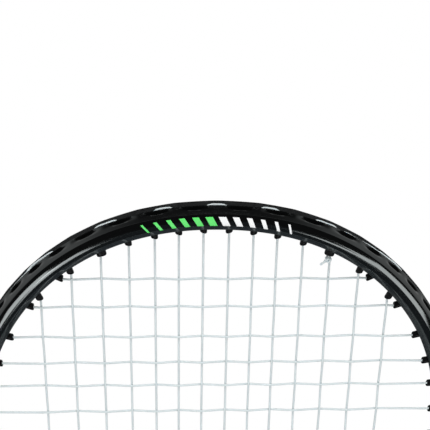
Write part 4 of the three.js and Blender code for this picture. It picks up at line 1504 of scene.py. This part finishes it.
class Stringing:
    """The main and the cross string, each one length from knot to knot."""

    SIDES = 12
    BEND_STEPS = 5
    PLANS = (
        StringPlan(
            name="mains",
            node="main_string",
            ends=("bottom", "top"),
            passed=("left", "right"),
            side=1.0,
            knots=("bottom1", "bottom12"),
            heading=(0.0, 0.0, 1.0),
        ),
        StringPlan(
            name="crosses",
            node="cross_string",
            ends=("right", "left"),
            passed=("top", "bottom"),
            side=-1.0,
            knots=("top11", "bottom10"),
            heading=(-1.0, 0.0, 0.0),
        ),
    )

    def __init__(self, hoop: Hoop, material: Material) -> None:
        """Works out where the strings cross.

        Args:
            hoop: the head's hoop with its holes.
            material: the strings' material.
        """
        self.hoop = hoop
        self.sizes = hoop.sizes
        self.bends = BendSizes()
        self.material = material
        self.mains: dict[int, list[Array]] = {i: [] for i in range(len(hoop.main_places))}
        self.crosses: dict[int, list[Array]] = {j: [] for j in range(len(hoop.cross_places))}
        for j, z in enumerate(hoop.cross_places):
            left, right = self.tip(f"left{j}"), self.tip(f"right{j}")
            for i, x in enumerate(hoop.main_places):
                top, bottom = self.tip(f"top{i}"), self.tip(f"bottom{i}")
                if not (bottom[2] < z < top[2] and left[0] < x < right[0]):
                    continue
                front = 1 if (i + j) % 2 else -1
                a = self.settled(z, top[2], bottom[2])
                b = self.settled(x, left[0], right[0])
                main = self.sizes.weave * a / (a + b)
                self.mains[i].append(np.array((x, front * main, z)))
                self.crosses[j].append(np.array((x, front * (main - self.sizes.weave), z)))

    def tip(self, name: str) -> Array:
        """Finds where a string leaves its barrel."""
        hole = self.hoop.holes[name]
        return self.hoop.barrel_point(hole, self.sizes.bend_level, hole.own)

    def settled(self, value: float, first: float, second: float) -> float:
        """Tells how free a string is of its barrels at a crossing."""
        near = min(abs(value - first), abs(value - second)) + self.sizes.string_radius
        return min(1.0, near / (self.sizes.string_radius * self.bends.settling))

    def mouth(self, name: str) -> float:
        """Finds the distance along the hoop of a barrel's mouth."""
        hole = self.hoop.holes[name]
        return hole.run + hole.lean_run * self.sizes.string_level

    def step(self, start: float, end: float) -> float:
        """Finds the shorter way round the hoop, with its sign."""
        step = end - start
        return step - math.copysign(self.hoop.length, step) if abs(step) > self.hoop.tip else step

    def bypass(
        self, route: Route, start: str, end: str, rows: Sequence[str], lane: float, from_side: float, to_side: float
    ) -> None:
        """Takes a string out of one barrel, along the channel past the others' mouths, and into the next.

        Args:
            route: the string's way.
            start: hole that it comes out of.
            end: hole that it goes into.
            rows: rows of holes whose mouths it has to pass.
            lane: side of the channel that it keeps to.
            from_side: its place across the first barrel.
            to_side: its place across the second.
        """
        hoop, sizes, bends = self.hoop, self.sizes, self.bends
        first, last = hoop.holes[start], hoop.holes[end]
        whole = self.step(self.mouth(start), self.mouth(end))
        heading = math.copysign(1.0, whole)
        met = []
        for name, hole in hoop.holes.items():
            away = self.step(self.mouth(start), self.mouth(name))
            if away * whole > 0 and abs(away) < abs(whole) and name.rstrip("0123456789") in rows:
                met.append((abs(away), name, hole.wide))
        route.add([hoop.barrel_point(first, sizes.bend_level, from_side)], bends.tip)
        route.add([hoop.barrel_point(first, sizes.mouth_level, from_side)], bends.mouth)
        for _, name, wide in sorted(met):
            reach = sizes.string_radius * bends.passing_room + wide
            for side in (-1, 1):
                run = self.mouth(name) + side * heading * reach
                route.add([hoop.place(run, sizes.string_level, lane)], bends.passing)
        route.add([hoop.barrel_point(last, sizes.mouth_level, to_side)], bends.mouth)
        route.add([hoop.barrel_point(last, sizes.bend_level, to_side)], bends.tip)

    def tie(self, name: str) -> tuple[list[Array], Array, Array]:
        """Finds a string's knot beside the main that is held in the same barrel.

        Args:
            name: the hole's name.

        Returns:
            The tail's and the knot's points, the knot's place, and its axis.
        """
        sizes, bends = self.sizes, self.bends
        hole = self.hoop.holes[name]
        inwards = -hole.pull
        centre = self.hoop.barrel_point(hole, sizes.bend_level, hole.own)
        sideways = self.hoop.barrel_point(hole, sizes.bend_level, -hole.own) - centre
        sideways = unit(sideways - inwards * float(sideways @ inwards))
        held = self.mains[int(name.lstrip("topbm"))]
        nearest = min(held, key=lambda point: float(np.linalg.norm(point - centre)))
        face = -math.copysign(1.0, float(nearest[1]))

        def place(side: float, depth: float, inward: float) -> Array:
            """Finds a point beside, before and inwards of the barrel's tip."""
            point = centre + sideways * side + inwards * inward
            return np.array((point[0], face * depth, point[2]))

        depth, inward = (sizes.knot_diameter * share for share in bends.knot_place)
        side = sizes.tie_off_spacing * bends.knot_side
        beside, before, inside = (sizes.knot_tail * share for share in bends.tail_way)
        knot = place(side, depth, inward)
        return [place(side + beside, depth + before, inward + inside), knot], knot, inwards

    def string(self, plan: StringPlan, route: Route, ties: Sequence[Sequence[Array]]) -> Piece:
        """Builds one string with its knots.

        Args:
            plan: how it runs.
            route: the string's way.
            ties: place and axis of each knot.

        Returns:
            The piece.
        """
        points, bends = list(route.points), list(route.bends)
        edges = [(k, k + 1) for k in range(len(points) - 1)]
        for place, axis in ties:
            loop = self.knot(place, axis)
            edges += [(len(points) + a, len(points) + b) for a, b in loop_edges(len(loop))]
            points += list(loop)
            bends += [0.0] * len(loop)
        mesh = mesh_of(np.array(points), edges=edges)
        give(mesh, "bend", np.array(bends))
        values = {"Radius": self.sizes.string_radius, "Sides": self.SIDES, "Bend Steps": self.BEND_STEPS}
        values["Material"] = self.material
        piece = string_tree().apply(new_object(plan.name, mesh), values)
        return seat(smooth(piece, 60.0), [plan.node])

    def knot(self, place: Array, axis: Array) -> Array:
        """Makes the loop of a tight overhand knot.

        Args:
            place: its middle.
            axis: the direction of the string through it.

        Returns:
            The loop's points.
        """
        bends = self.bends
        t = np.linspace(0, FULL_TURN, bends.knot_points, endpoint=False)
        ring = bends.knot_ring + bends.knot_wave * np.cos(3 * t)
        local = np.stack((ring * np.cos(2 * t), ring * np.sin(2 * t), bends.knot_height * np.sin(3 * t)), axis=-1)
        side = np.array((0.0, 1.0, 0.0))
        other = np.cross(axis, side)
        return place + local[:, :1] * side + local[:, 1:2] * other + local[:, 2:] * axis

    def laid(self, plan: StringPlan, stretches: dict[int, list[Array]]) -> Piece:
        """Lays one string from knot to knot and builds it.

        Args:
            plan: how it runs.
            stretches: its crossings, for each of its runs through the bed.

        Returns:
            The piece.
        """
        holes, ends, lane = self.hoop.holes, plan.ends, plan.side * self.sizes.lane
        start, end = plan.knots
        (first, *first_tie), (final, *final_tie) = (self.tie(name) for name in plan.knots)
        last = len(stretches) - 1
        route = Route()
        route.add(first, self.bends.tail)
        self.bypass(route, start, f"{ends[0]}0", plan.passed, lane, -holes[start].own, holes[f"{ends[0]}0"].own)
        for k in range(last + 1):
            forth = k % 2 == 0
            points = sorted(stretches[k], key=lambda point: float(point @ plan.heading))
            route.add(points if forth else points[::-1], self.bends.bed)
            if k < last:
                here, there = f"{ends[forth]}{k}", f"{ends[forth]}{k + 1}"
                self.bypass(route, here, there, plan.passed, lane, holes[here].own, holes[there].own)
        self.bypass(route, f"{ends[last % 2 == 0]}{last}", end, plan.passed, lane, 0.0, -holes[end].own)
        route.add(final[::-1], self.bends.tail)
        return self.string(plan, route, [first_tie, final_tie])

    def build(self) -> list[Piece]:
        """Builds both strings."""
        return [self.laid(plan, stretches) for plan, stretches in zip(self.PLANS, (self.mains, self.crosses))]


# The throat, shaft and handle


@dataclass(frozen=True)
class HandleSizes:
    """Sizes of the throat, shaft and handle, in metres."""

    seat_gap: float = 0.3 * MM
    throat_bottom: float = 305.6 * MM
    throat_wall: float = 1.9 * MM
    socket_depth: float = 22.0 * MM
    shaft_diameter: float = 9.4 * MM
    shaft_wall: float = 1.3 * MM
    shaft_bottom: float = 87.6 * MM
    cone_bottom: float = 187.6 * MM
    cone_length: float = 38.0 * MM
    cone_top_diameter: float = 12.4 * MM
    core_width: float = 25.0 * MM
    core_depth: float = 22.4 * MM
    core_bottom: float = 3.3 * MM
    core_top: float = 187.3 * MM
    core_radius: float = 0.4 * MM
    corner_share: float = 0.27
    cap_height: float = 20.0 * MM
    cap_floor: float = 3.0 * MM
    cap_flare: float = 3.4 * MM
    cap_edge: float = 1.6 * MM
    cap_radius: float = 3.2 * MM
    cap_lip: float = 0.5 * MM
    cap_lip_step: float = 0.7 * MM
    grip_bottom: float = 20.3 * MM
    grip_thickness: float = 1.9 * MM
    grip_step: float = 0.45 * MM
    grip_pitch: float = 16.0 * MM
    grip_phase: float = 8.5
    grip_row: float = 0.4 * MM
    grip_columns: int = 120
    grip_radius: float = 3.4 * MM
    tape_height: float = 15.0 * MM
    tape_thickness: float = 0.6 * MM
    tape_edge: float = 0.2 * MM
    # Height of the tape's outer side, in shares, over one turn from its overlapping edge
    grip_rise: tuple[tuple[float, ...], tuple[float, ...]] = (
        (0.0, 0.03, 0.07, 0.12, 0.55, 0.93, 1.0),
        (0.0, 0.62, 0.93, 1.0, 0.82, 0.35, 0.0),
    )

    @property
    def bore(self) -> float:
        """Radius of the bores that take the shaft."""
        return self.shaft_diameter / 2 + self.seat_gap

    @property
    def grip_width(self) -> float:
        """Width of the wrapped handle."""
        return self.core_width + 2 * (self.seat_gap + self.grip_thickness)

    @property
    def grip_depth(self) -> float:
        """Depth of the wrapped handle."""
        return self.core_depth + 2 * (self.seat_gap + self.grip_thickness)


def eased(knots: Sequence[Sequence[float]], count: int) -> Array:
    """Draws a smooth line through rows of numbers, spaced by their last column.

    Args:
        knots: the rows, in rising order of the last column.
        count: number of rows in the result.

    Returns:
        The interpolated rows.
    """
    rows = np.asarray(knots, float)
    z = rows[:, -1]
    slopes = np.gradient(rows, z, axis=0)
    secants = np.diff(rows, axis=0) / np.diff(z)[:, None]
    for column in range(rows.shape[1] - 1):
        for k in range(1, len(z) - 1):
            if secants[k - 1, column] * secants[k, column] <= 0:
                slopes[k, column] = 0.0
    places = np.linspace(z[0], z[-1], count)
    k = np.clip(np.searchsorted(z, places, side="right") - 1, 0, len(z) - 2)
    span = (z[k + 1] - z[k])[:, None]
    t = (places - z[k])[:, None] / span
    made = (2 * t**3 - 3 * t**2 + 1) * rows[k] + (t**3 - 2 * t**2 + t) * span * slopes[k]
    made += (3 * t**2 - 2 * t**3) * rows[k + 1] + (t**3 - t**2) * span * slopes[k + 1]
    return made


def turned(profile: Sequence[tuple[float, float]]) -> Mesh:
    """Makes a ring-shaped solid about the racket's axis from the radii and heights of its closed section."""
    return ring_solid([circle(radius, height, FACETS) for radius, height in profile], closed=True)


def along_ring(ring: Array, count: int) -> tuple[Array, Array]:
    """Spaces points evenly round a closed ring.

    Args:
        ring: the ring's corners.
        count: number of points round it.

    Returns:
        The points, with the first again at the end, and their distances round the ring.
    """
    closed = np.vstack((ring, ring[:1]))
    arc = np.concatenate(([0.0], np.cumsum(np.linalg.norm(np.diff(closed, axis=0), axis=1))))
    places = np.linspace(0, arc[-1], count + 1)
    return np.stack([np.interp(places, arc, closed[:, k]) for k in (0, 1)], axis=-1), places


class Handle:
    """The throat joint, shaft, cone, core, butt cap, grip and finishing tape."""

    CORNER_STEPS = 5
    GRIP_CORNER_STEPS = 6
    CORE_CORNER_STEPS = 2
    CORE_FACETS = 48
    PAST = 5 * MM

    def __init__(self, sizes: HandleSizes, head: HeadSizes, finishes: Finishes) -> None:
        """Takes the sizes and finishes.

        Args:
            sizes: the handle's sizes.
            head: the head's sizes.
            finishes: the racket's finishes.
        """
        self.sizes = sizes
        self.head = head
        self.finishes = finishes

    def octagon(self, width: float, depth: float, height: float, radius: float, steps: int = CORNER_STEPS) -> Array:
        """Makes an eight-sided ring with rounded corners.

        Args:
            width: size along X.
            depth: size along Y.
            height: height of the ring.
            radius: radius of its corners.
            steps: spans of each corner.

        Returns:
            The ring.
        """
        bevel = depth * self.sizes.corner_share
        x, y = width / 2, depth / 2
        half = [(x, -y + bevel), (x, y - bevel), (x - bevel, y), (-x + bevel, y)]
        flat = rounded(half + [(-u, -v) for u, v in half], [radius] * 8, steps)
        return np.column_stack((flat, np.full(len(flat), height)))

    def core_ring(self, height: float, gap: float = 0.0) -> Array:
        """Makes a ring round the handle's core, at a gap from it."""
        s = self.sizes
        return self.octagon(s.core_width + gap, s.core_depth + gap, height, s.core_radius, self.CORE_CORNER_STEPS)

    def bored(self, piece: Piece, low: float, high: float, sides: int) -> Piece:
        """Cuts the shaft's bore, with a number of facets, into a piece between two heights."""
        return cut(piece, new_object("bore", ring_solid([circle(self.sizes.bore, z, sides) for z in (low, high)])))

    def dressed(self, name: str, mesh: Mesh, material: Material) -> Piece:
        """Puts a mesh into the scene with its material.

        Args:
            name: name of the piece.
            mesh: its mesh.
            material: its material.

        Returns:
            The piece.
        """
        mesh.materials.clear()
        mesh.materials.append(material)
        return new_object(name, mesh)

    def throat(self) -> Piece:
        """Builds the throat joint.

        Returns:
            The piece.
        """
        s, head = self.sizes, self.head
        neck = s.shaft_diameter + 2 * (s.seat_gap + s.throat_wall)
        cheek = head.tube_depth + 2 * (s.seat_gap + s.throat_wall)
        saddle = head.bottom_height - head.half_width
        rise = saddle - s.throat_bottom
        wide = head.saddle_width
        # Width, depth and height of the moulding, from the shaft up round the hoop
        knots = [
            (neck * 0.94, neck * 0.94, s.throat_bottom),
            (neck, neck, s.throat_bottom + rise * 0.03),
            (neck * 1.03, neck * 1.02, s.throat_bottom + rise * 0.45),
            ((neck + wide / 2) * 0.68, (neck + cheek) / 2, s.throat_bottom + rise * 0.7),
            (wide * 0.86, cheek * 0.97, s.throat_bottom + rise * 0.9),
            (wide, cheek, saddle + head.half_width * 0.3),
            (wide * 0.8, cheek, head.bottom_height),
            (wide * 0.45, cheek * 0.95, head.bottom_height + head.half_width * 0.45),
        ]
        angles = np.arange(FACETS) / FACETS * FULL_TURN
        x, y = head.bulge(np.cos(angles)), head.bulge(np.sin(angles))
        rings = [np.stack((x * w / 2, y * d / 2, np.full(FACETS, z)), axis=-1) for w, d, z in eased(knots, 60)]
        piece = self.dressed("throat_moulding", ring_solid(rings), self.finishes.moulding)
        hoop = Hoop(head)
        section = TubeSection(head, s.seat_gap, filled=True).points
        passing = []
        for run in np.linspace(-wide, wide, 45):
            centre, outward = hoop.point(run), hoop.axes(run)[1]
            passing.append(centre + outward * section[:, :1] + np.array((0.0, 1.0, 0.0)) * section[:, 1:])
        cut(piece, new_object("hoop_seat", ring_solid(passing)))
        self.bored(piece, s.throat_bottom - self.PAST, s.throat_bottom + s.socket_depth + s.seat_gap, FACETS)
        return seat(smooth(piece, 40.0), ["throat_joint"])

    def shaft(self) -> Piece:
        """Builds the shaft.

        Returns:
            The piece.
        """
        s = self.sizes
        outer, inner = s.shaft_diameter / 2, s.shaft_diameter / 2 - s.shaft_wall
        heights = np.linspace(s.shaft_bottom, s.throat_bottom + s.socket_depth, 24)
        profile = [(outer, z) for z in heights] + [(inner, z) for z in heights[::-1]]
        piece = self.dressed("shaft_tube", turned(profile), self.finishes.shaft)
        return seat(smooth(piece, 35.0), ["shaft"])

    def cone(self) -> Piece:
        """Builds the cone above the handle.

        Returns:
            The piece.
        """
        s = self.sizes
        base, tip = s.grip_depth / 2, s.cone_top_diameter / 2
        low, high = s.cone_bottom, s.cone_bottom + s.cone_length
        knots = [
            (base, low + 0.6 * MM),
            (base, low + s.cone_length * 0.08),
            (tip + (base - tip) * 0.42, low + s.cone_length * 0.5),
            (tip, high - 0.7 * MM),
        ]
        line = [(float(r), float(z)) for r, z in eased(knots, 48)]
        profile = [(s.bore, low), (base - 0.6 * MM, low), *line, (tip - 0.5 * MM, high), (s.bore, high)]
        piece = self.dressed("handle_cone_moulding", turned(profile), self.finishes.moulding)
        return seat(smooth(piece, 50.0), ["handle_cone"])

    def cap(self) -> Piece:
        """Builds the butt cap.

        Returns:
            The piece.
        """
        s = self.sizes
        wide, deep, edge = s.grip_width, s.grip_depth, s.cap_edge
        rings = []
        for angle in np.linspace(0, math.pi / 2, 7):
            back = 2 * edge * (1 - math.sin(angle))
            rings.append((wide + s.cap_flare - back, deep + s.cap_flare - back, edge * (1 - math.cos(angle))))
        for share in np.linspace(0, 1, 26)[1:]:
            flare = s.cap_flare * (1 - share * share * (3 - 2 * share))
            rings.append((wide + flare, deep + flare, edge + share * (s.cap_height - edge - s.cap_lip)))
        rings.append((wide - s.cap_lip_step, deep - s.cap_lip_step, s.cap_height))
        mesh = ring_solid([self.octagon(w, d, z, s.cap_radius) for w, d, z in rings])
        piece = self.dressed("butt_cap_moulding", mesh, self.finishes.moulding)
        pocket = [self.core_ring(z, 2 * s.seat_gap) for z in (s.cap_floor, 2 * s.cap_height)]
        cut(piece, new_object("pocket", ring_solid(pocket)))
        return seat(smooth(piece, 45.0), ["butt_cap"])

    def map_tape(self, mesh: Mesh, heights: Array, turns: Array) -> None:
        """Maps the grip: one unit across is a turn round the handle, and one unit up is a pitch of the tape.

        Args:
            mesh: the grip's mesh, which is made of rows.
            heights: the height of each row.
            turns: the turn of each column, from zero to one.
        """
        pitch, columns = self.sizes.grip_pitch, self.sizes.grip_columns
        counts = [len(face.vertices) for face in mesh.polygons]
        corner = np.array([vertex for face in mesh.polygons for vertex in face.vertices])
        first = np.repeat([face.vertices[0] for face in mesh.polygons], counts)
        column = corner % columns
        column = np.where((first % columns == columns - 1) & (column == 0), columns, column)
        row = np.minimum(corner // columns, len(heights) - 1)
        level = heights[row] - self.sizes.grip_bottom - pitch * turns[column]
        tape = np.stack((turns[column], level / pitch), axis=-1)
        mesh.uv_layers.new(name="tape").data.foreach_set("uv", tape.astype(np.float32).reshape(-1))

    def grip(self) -> Piece:
        """Builds the wound grip tape.

        Returns:
            The piece.
        """
        s = self.sizes
        columns = s.grip_columns
        outline = self.octagon(s.grip_width, s.grip_depth, 0.0, s.grip_radius, self.GRIP_CORNER_STEPS)
        xy, places = along_ring(outline[:, :2], columns)
        normal = unit(np.stack((xy[:, 0] / s.grip_width**2, xy[:, 1] / s.grip_depth**2), axis=-1))
        heights = np.arange(s.grip_bottom, s.core_top + 0.01 * MM, s.grip_row)
        heights[-1] = s.core_top
        turns = places / places[-1]
        phase = (heights[:, None] - s.grip_bottom) / s.grip_pitch - turns[None, :] + s.grip_phase
        sunk = s.grip_step * (1 - np.interp(phase % 1.0, *s.grip_rise))
        rows = len(heights)
        points = np.empty((rows, columns, 3))
        points[..., :2] = xy[None, :columns] - normal[None, :columns] * sunk[:, :columns, None]
        points[..., 2] = heights[:, None]
        inside = along_ring(self.core_ring(0.0, 2 * s.seat_gap)[:, :2], columns)[0][:columns]
        ends = [np.column_stack((inside, np.full(columns, height))) for height in (heights[-1], heights[0])]
        mesh = mesh_of(np.concatenate((points.reshape(-1, 3), *ends)), ring_faces(rows + 2, columns, closed=True))
        self.map_tape(mesh, heights, turns)
        return seat(smooth(self.dressed("grip_tape", mesh, self.finishes.grip), 60.0), ["grip_wrap"])

    def tape(self) -> Piece:
        """Builds the tape over the grip's upper end.

        Returns:
            The piece.
        """
        s = self.sizes
        width, depth = s.grip_width + 2 * s.seat_gap, s.grip_depth + 2 * s.seat_gap
        low, high, thick, edge = s.core_top - s.tape_height, s.core_top, s.tape_thickness, s.tape_edge
        profile = [(0.0, low), (thick - edge, low)]
        profile += [(thick, float(z)) for z in np.linspace(low + edge, high - edge, 8)]
        profile += [(thick - edge, high), (0.0, high)]
        rings = [
            self.octagon(width + 2 * out, depth + 2 * out, z, s.grip_radius, self.GRIP_CORNER_STEPS)
            for out, z in profile
        ]
        piece = self.dressed("tape_band", ring_solid(rings, closed=True), self.finishes.tape)
        return seat(smooth(piece, 35.0), ["finishing_tape"])

    def core(self) -> Piece:
        """Builds the handle's core.

        Returns:
            The piece.
        """
        s = self.sizes
        outer = [self.core_ring(z) for z in np.linspace(s.core_bottom, s.core_top, 12)]
        piece = self.dressed("core_block", ring_solid(outer), self.finishes.core)
        self.bored(piece, s.core_bottom - self.PAST, s.core_top + self.PAST, self.CORE_FACETS)
        return seat(smooth(piece, 35.0), ["handle_core"])

    def build(self) -> list[Piece]:
        """Builds every piece below the head."""
        return [self.throat(), self.shaft(), self.cone(), self.core(), self.cap(), self.grip(), self.tape()]


# Camera, light and floor


@dataclass(frozen=True)
class View:
    """The photo's camera: its place in metres, its lens and sensor in millimetres, and its turns in degrees."""

    place: Place = (-0.01602, -0.33995, 0.73997)
    lens: float = 79.58
    sensor: float = 36.0
    pitch: float = 23.614
    yaw: float = 2.588
    roll: float = 1.002

    def make(self) -> Piece:
        """Makes the scene's camera.

        Returns:
            The camera.
        """
        camera = bpy.data.objects.new("camera", bpy.data.cameras.new("camera"))
        bpy.context.scene.collection.objects.link(camera)
        camera.data.sensor_width = self.sensor
        camera.data.lens = self.lens
        camera.data.clip_start, camera.data.clip_end = 0.01, 30.0
        yaw, pitch, roll = (math.radians(angle) for angle in (self.yaw, self.pitch, self.roll))
        ahead = Vector((math.sin(yaw) * math.cos(pitch), math.cos(yaw) * math.cos(pitch), -math.sin(pitch)))
        right = Vector((math.cos(yaw), -math.sin(yaw), 0.0))
        up = right.cross(ahead)
        side = right * math.cos(roll) + up * math.sin(roll)
        top = up * math.cos(roll) - right * math.sin(roll)
        camera.matrix_world = Matrix.Translation(self.place) @ Matrix((side, top, -ahead)).transposed().to_4x4()
        bpy.context.scene.camera = camera
        return camera


def bare_material(name: str) -> tuple[Material, NodeGraph]:
    """Makes a material without a surface shader.

    Args:
        name: the material's name.

    Returns:
        The material and its graph.
    """
    material = bpy.data.materials.new(name)
    material.use_nodes = True
    material.node_tree.nodes.remove(material.node_tree.nodes["Principled BSDF"])
    return material, NodeGraph(material.node_tree)


def aimed(thing: Piece, place: Place, aim: Place, turn: float = 0.0) -> None:
    """Puts a lamp or card at a place, facing a point.

    Args:
        thing: the lamp or card.
        place: its place.
        aim: the point.
        turn: its turn about its own axis, in degrees.
    """
    thing.location = place
    thing.rotation_mode = "QUATERNION"
    towards = (Vector(aim) - Vector(place)).to_track_quat("-Z", "Y")
    thing.rotation_quaternion = towards @ Quaternion((0.0, 0.0, 1.0), math.radians(turn))


@dataclass(frozen=True)
class Card:
    """A dark card that only reflections see, to keep them deep, fading to white at its left and right edges."""

    name: str
    place: Place
    aim: Place
    width: float
    height: float
    shade: Colour
    fade: float

    def make(self) -> Piece:
        """Makes the card.

        Returns:
            The card.
        """
        x, y = self.width / 2, self.height / 2
        corners = np.array([(-x, -y, 0.0), (x, -y, 0.0), (x, y, 0.0), (-x, y, 0.0)])
        card = new_object(self.name, mesh_of(corners, [range(4)]))
        give(card.data, "across", np.sign(corners[:, 0]))
        material, graph = bare_material(self.name)
        away = graph.math("ABSOLUTE", graph.surface_value("across"))
        ends = {"Value": away, "From Min": self.fade, "From Max": 1.0001}
        edge = graph.add("ShaderNodeMapRange", ends, interpolation_type="SMOOTHSTEP").outputs[0]
        colour = Finish.between(graph, edge, opaque(self.shade), (1.0, 1.0, 1.0, 1.0))
        glow = graph.add("ShaderNodeEmission", {"Color": colour}).outputs[0]
        graph.link(glow, material.node_tree.nodes["Material Output"], "Surface")
        card.data.materials.append(material)
        aimed(card, self.place, self.aim)
        card.visible_camera = card.visible_diffuse = card.visible_shadow = card.visible_transmission = False
        return card


@dataclass(frozen=True)
class Lamp:
    """A soft rectangular lamp that looks at a point, with its turn in degrees."""

    name: str
    place: Place
    aim: Place
    width: float
    height: float
    power: float
    turn: float = 0.0

    def make(self) -> Piece:
        """Makes the lamp.

        Returns:
            The lamp.
        """
        light = bpy.data.lights.new(self.name, "AREA")
        light.shape, light.size, light.size_y, light.energy = "RECTANGLE", self.width, self.height, self.power
        lamp = bpy.data.objects.new(self.name, light)
        bpy.context.scene.collection.objects.link(lamp)
        aimed(lamp, self.place, self.aim, self.turn)
        lamp.visible_camera = False
        return lamp


class Studio:
    """A white background, a pale floor and soft lamps."""

    LAMPS = (
        Lamp("left_window", (-0.190, -0.56, 0.265), (-0.07, 0.0, 0.57), 0.19, 0.09, 0.43, -53.0),
        Lamp("left_strip", (-0.095, -0.56, 0.215), (-0.07, 0.0, 0.57), 0.14, 0.045, 0.14, -62.0),
        Lamp("right_window", (0.264, -0.56, 0.322), (0.07, 0.0, 0.57), 0.18, 0.13, 0.52, 41.0),
        Lamp("right_strip", (0.135, -0.56, 0.225), (0.07, 0.0, 0.57), 0.15, 0.022, 0.08, 51.0),
        Lamp("top_lamp", (0.0, -0.6, 2.0), (0.0, 0.0, 0.45), 0.8, 0.6, 12.0),
    )
    # Painted reflections: front_card and high_card darken what the lacquer reflects, high_card fading to white at the
    # sides, and low_card gives the inner bevel a slate-blue reflection
    CARDS = (
        Card("front_card", (0.0, -1.0, 0.35), (0.0, 0.0, 0.35), 1.6, 2.2, (0.03, 0.03, 0.03), 0.85),
        Card("low_card", (0.0, 0.0, 0.004), (0.0, 0.0, 1.0), 3.0, 4.4, (0.10, 0.122, 0.138), 0.85),
        Card("high_card", (0.0, 0.0, 1.7), (0.0, 0.0, 0.0), 3.2, 2.2, (0.06, 0.06, 0.06), 0.19),
    )
    WORLD_LIGHT = 0.62
    FLOOR_RADIUS = 0.5
    FLOOR_SIDES = 96
    FLOOR_DROP = 0.2 * MM
    FLOOR_COLOUR = (0.86, 0.86, 0.86)
    FLOOR_GLOW = 0.3

    @staticmethod
    def seen(graph: NodeGraph) -> Socket:
        """Tells whether a ray comes from the camera, a reflection or a clear piece.

        Args:
            graph: the material's or world's graph.

        Returns:
            One for such a ray, or zero.
        """
        path = graph.add("ShaderNodeLightPath")
        either = graph.math("MAXIMUM", path.outputs["Is Camera Ray"], path.outputs["Is Glossy Ray"])
        return graph.math("MAXIMUM", either, path.outputs["Is Transmission Ray"])

    def world(self) -> None:
        """Makes the white surroundings."""
        world = bpy.data.worlds.new("surroundings")
        bpy.context.scene.world = world
        world.use_nodes = True
        graph = NodeGraph(world.node_tree)
        background = world.node_tree.nodes["Background"]
        background.inputs["Color"].default_value = (1.0, 1.0, 1.0, 1.0)
        graph.link(Finish.spread(graph, self.seen(graph), self.WORLD_LIGHT, 1.0), background, "Strength")

    def floor(self) -> Piece:
        """Makes the floor.

        Returns:
            The floor.
        """
        rim = circle(1.0, 0.0, self.FLOOR_SIDES) * self.FLOOR_RADIUS
        floor = new_object("floor", mesh_of(rim - np.array((0.0, 0.0, self.FLOOR_DROP)), [range(self.FLOOR_SIDES)]))
        material, graph = bare_material("floor")
        matt = graph.add("ShaderNodeBsdfDiffuse", {"Color": opaque(self.FLOOR_COLOUR)}).outputs[0]
        strength = graph.math("MULTIPLY", self.seen(graph), self.FLOOR_GLOW)
        glow = graph.add("ShaderNodeEmission", {"Strength": strength}).outputs[0]
        both = graph.add("ShaderNodeAddShader", {0: matt, 1: glow}).outputs[0]
        graph.link(both, material.node_tree.nodes["Material Output"], "Surface")
        floor.data.materials.append(material)
        return floor

    def build(self) -> None:
        """Makes the surroundings, the floor and the lamps."""
        scene = bpy.context.scene
        scene.view_settings.view_transform = "Standard"
        self.world()
        self.floor()
        for part in (*self.LAMPS, *self.CARDS):
            part.make()


def main() -> None:
    """Builds the whole scene."""
    logging.basicConfig(level=logging.INFO, format="%(message)s")
    View().make()
    Studio().build()
    finishes = Finishes()
    sizes = HeadSizes()
    pieces = Head(sizes, finishes).build()
    pieces += Handle(HandleSizes(), sizes, finishes).build()
    LOG.info("%d pieces, %d faces", len(pieces), sum(len(piece.data.polygons) for piece in pieces))
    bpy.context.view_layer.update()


if __name__ == "__main__":
    main()
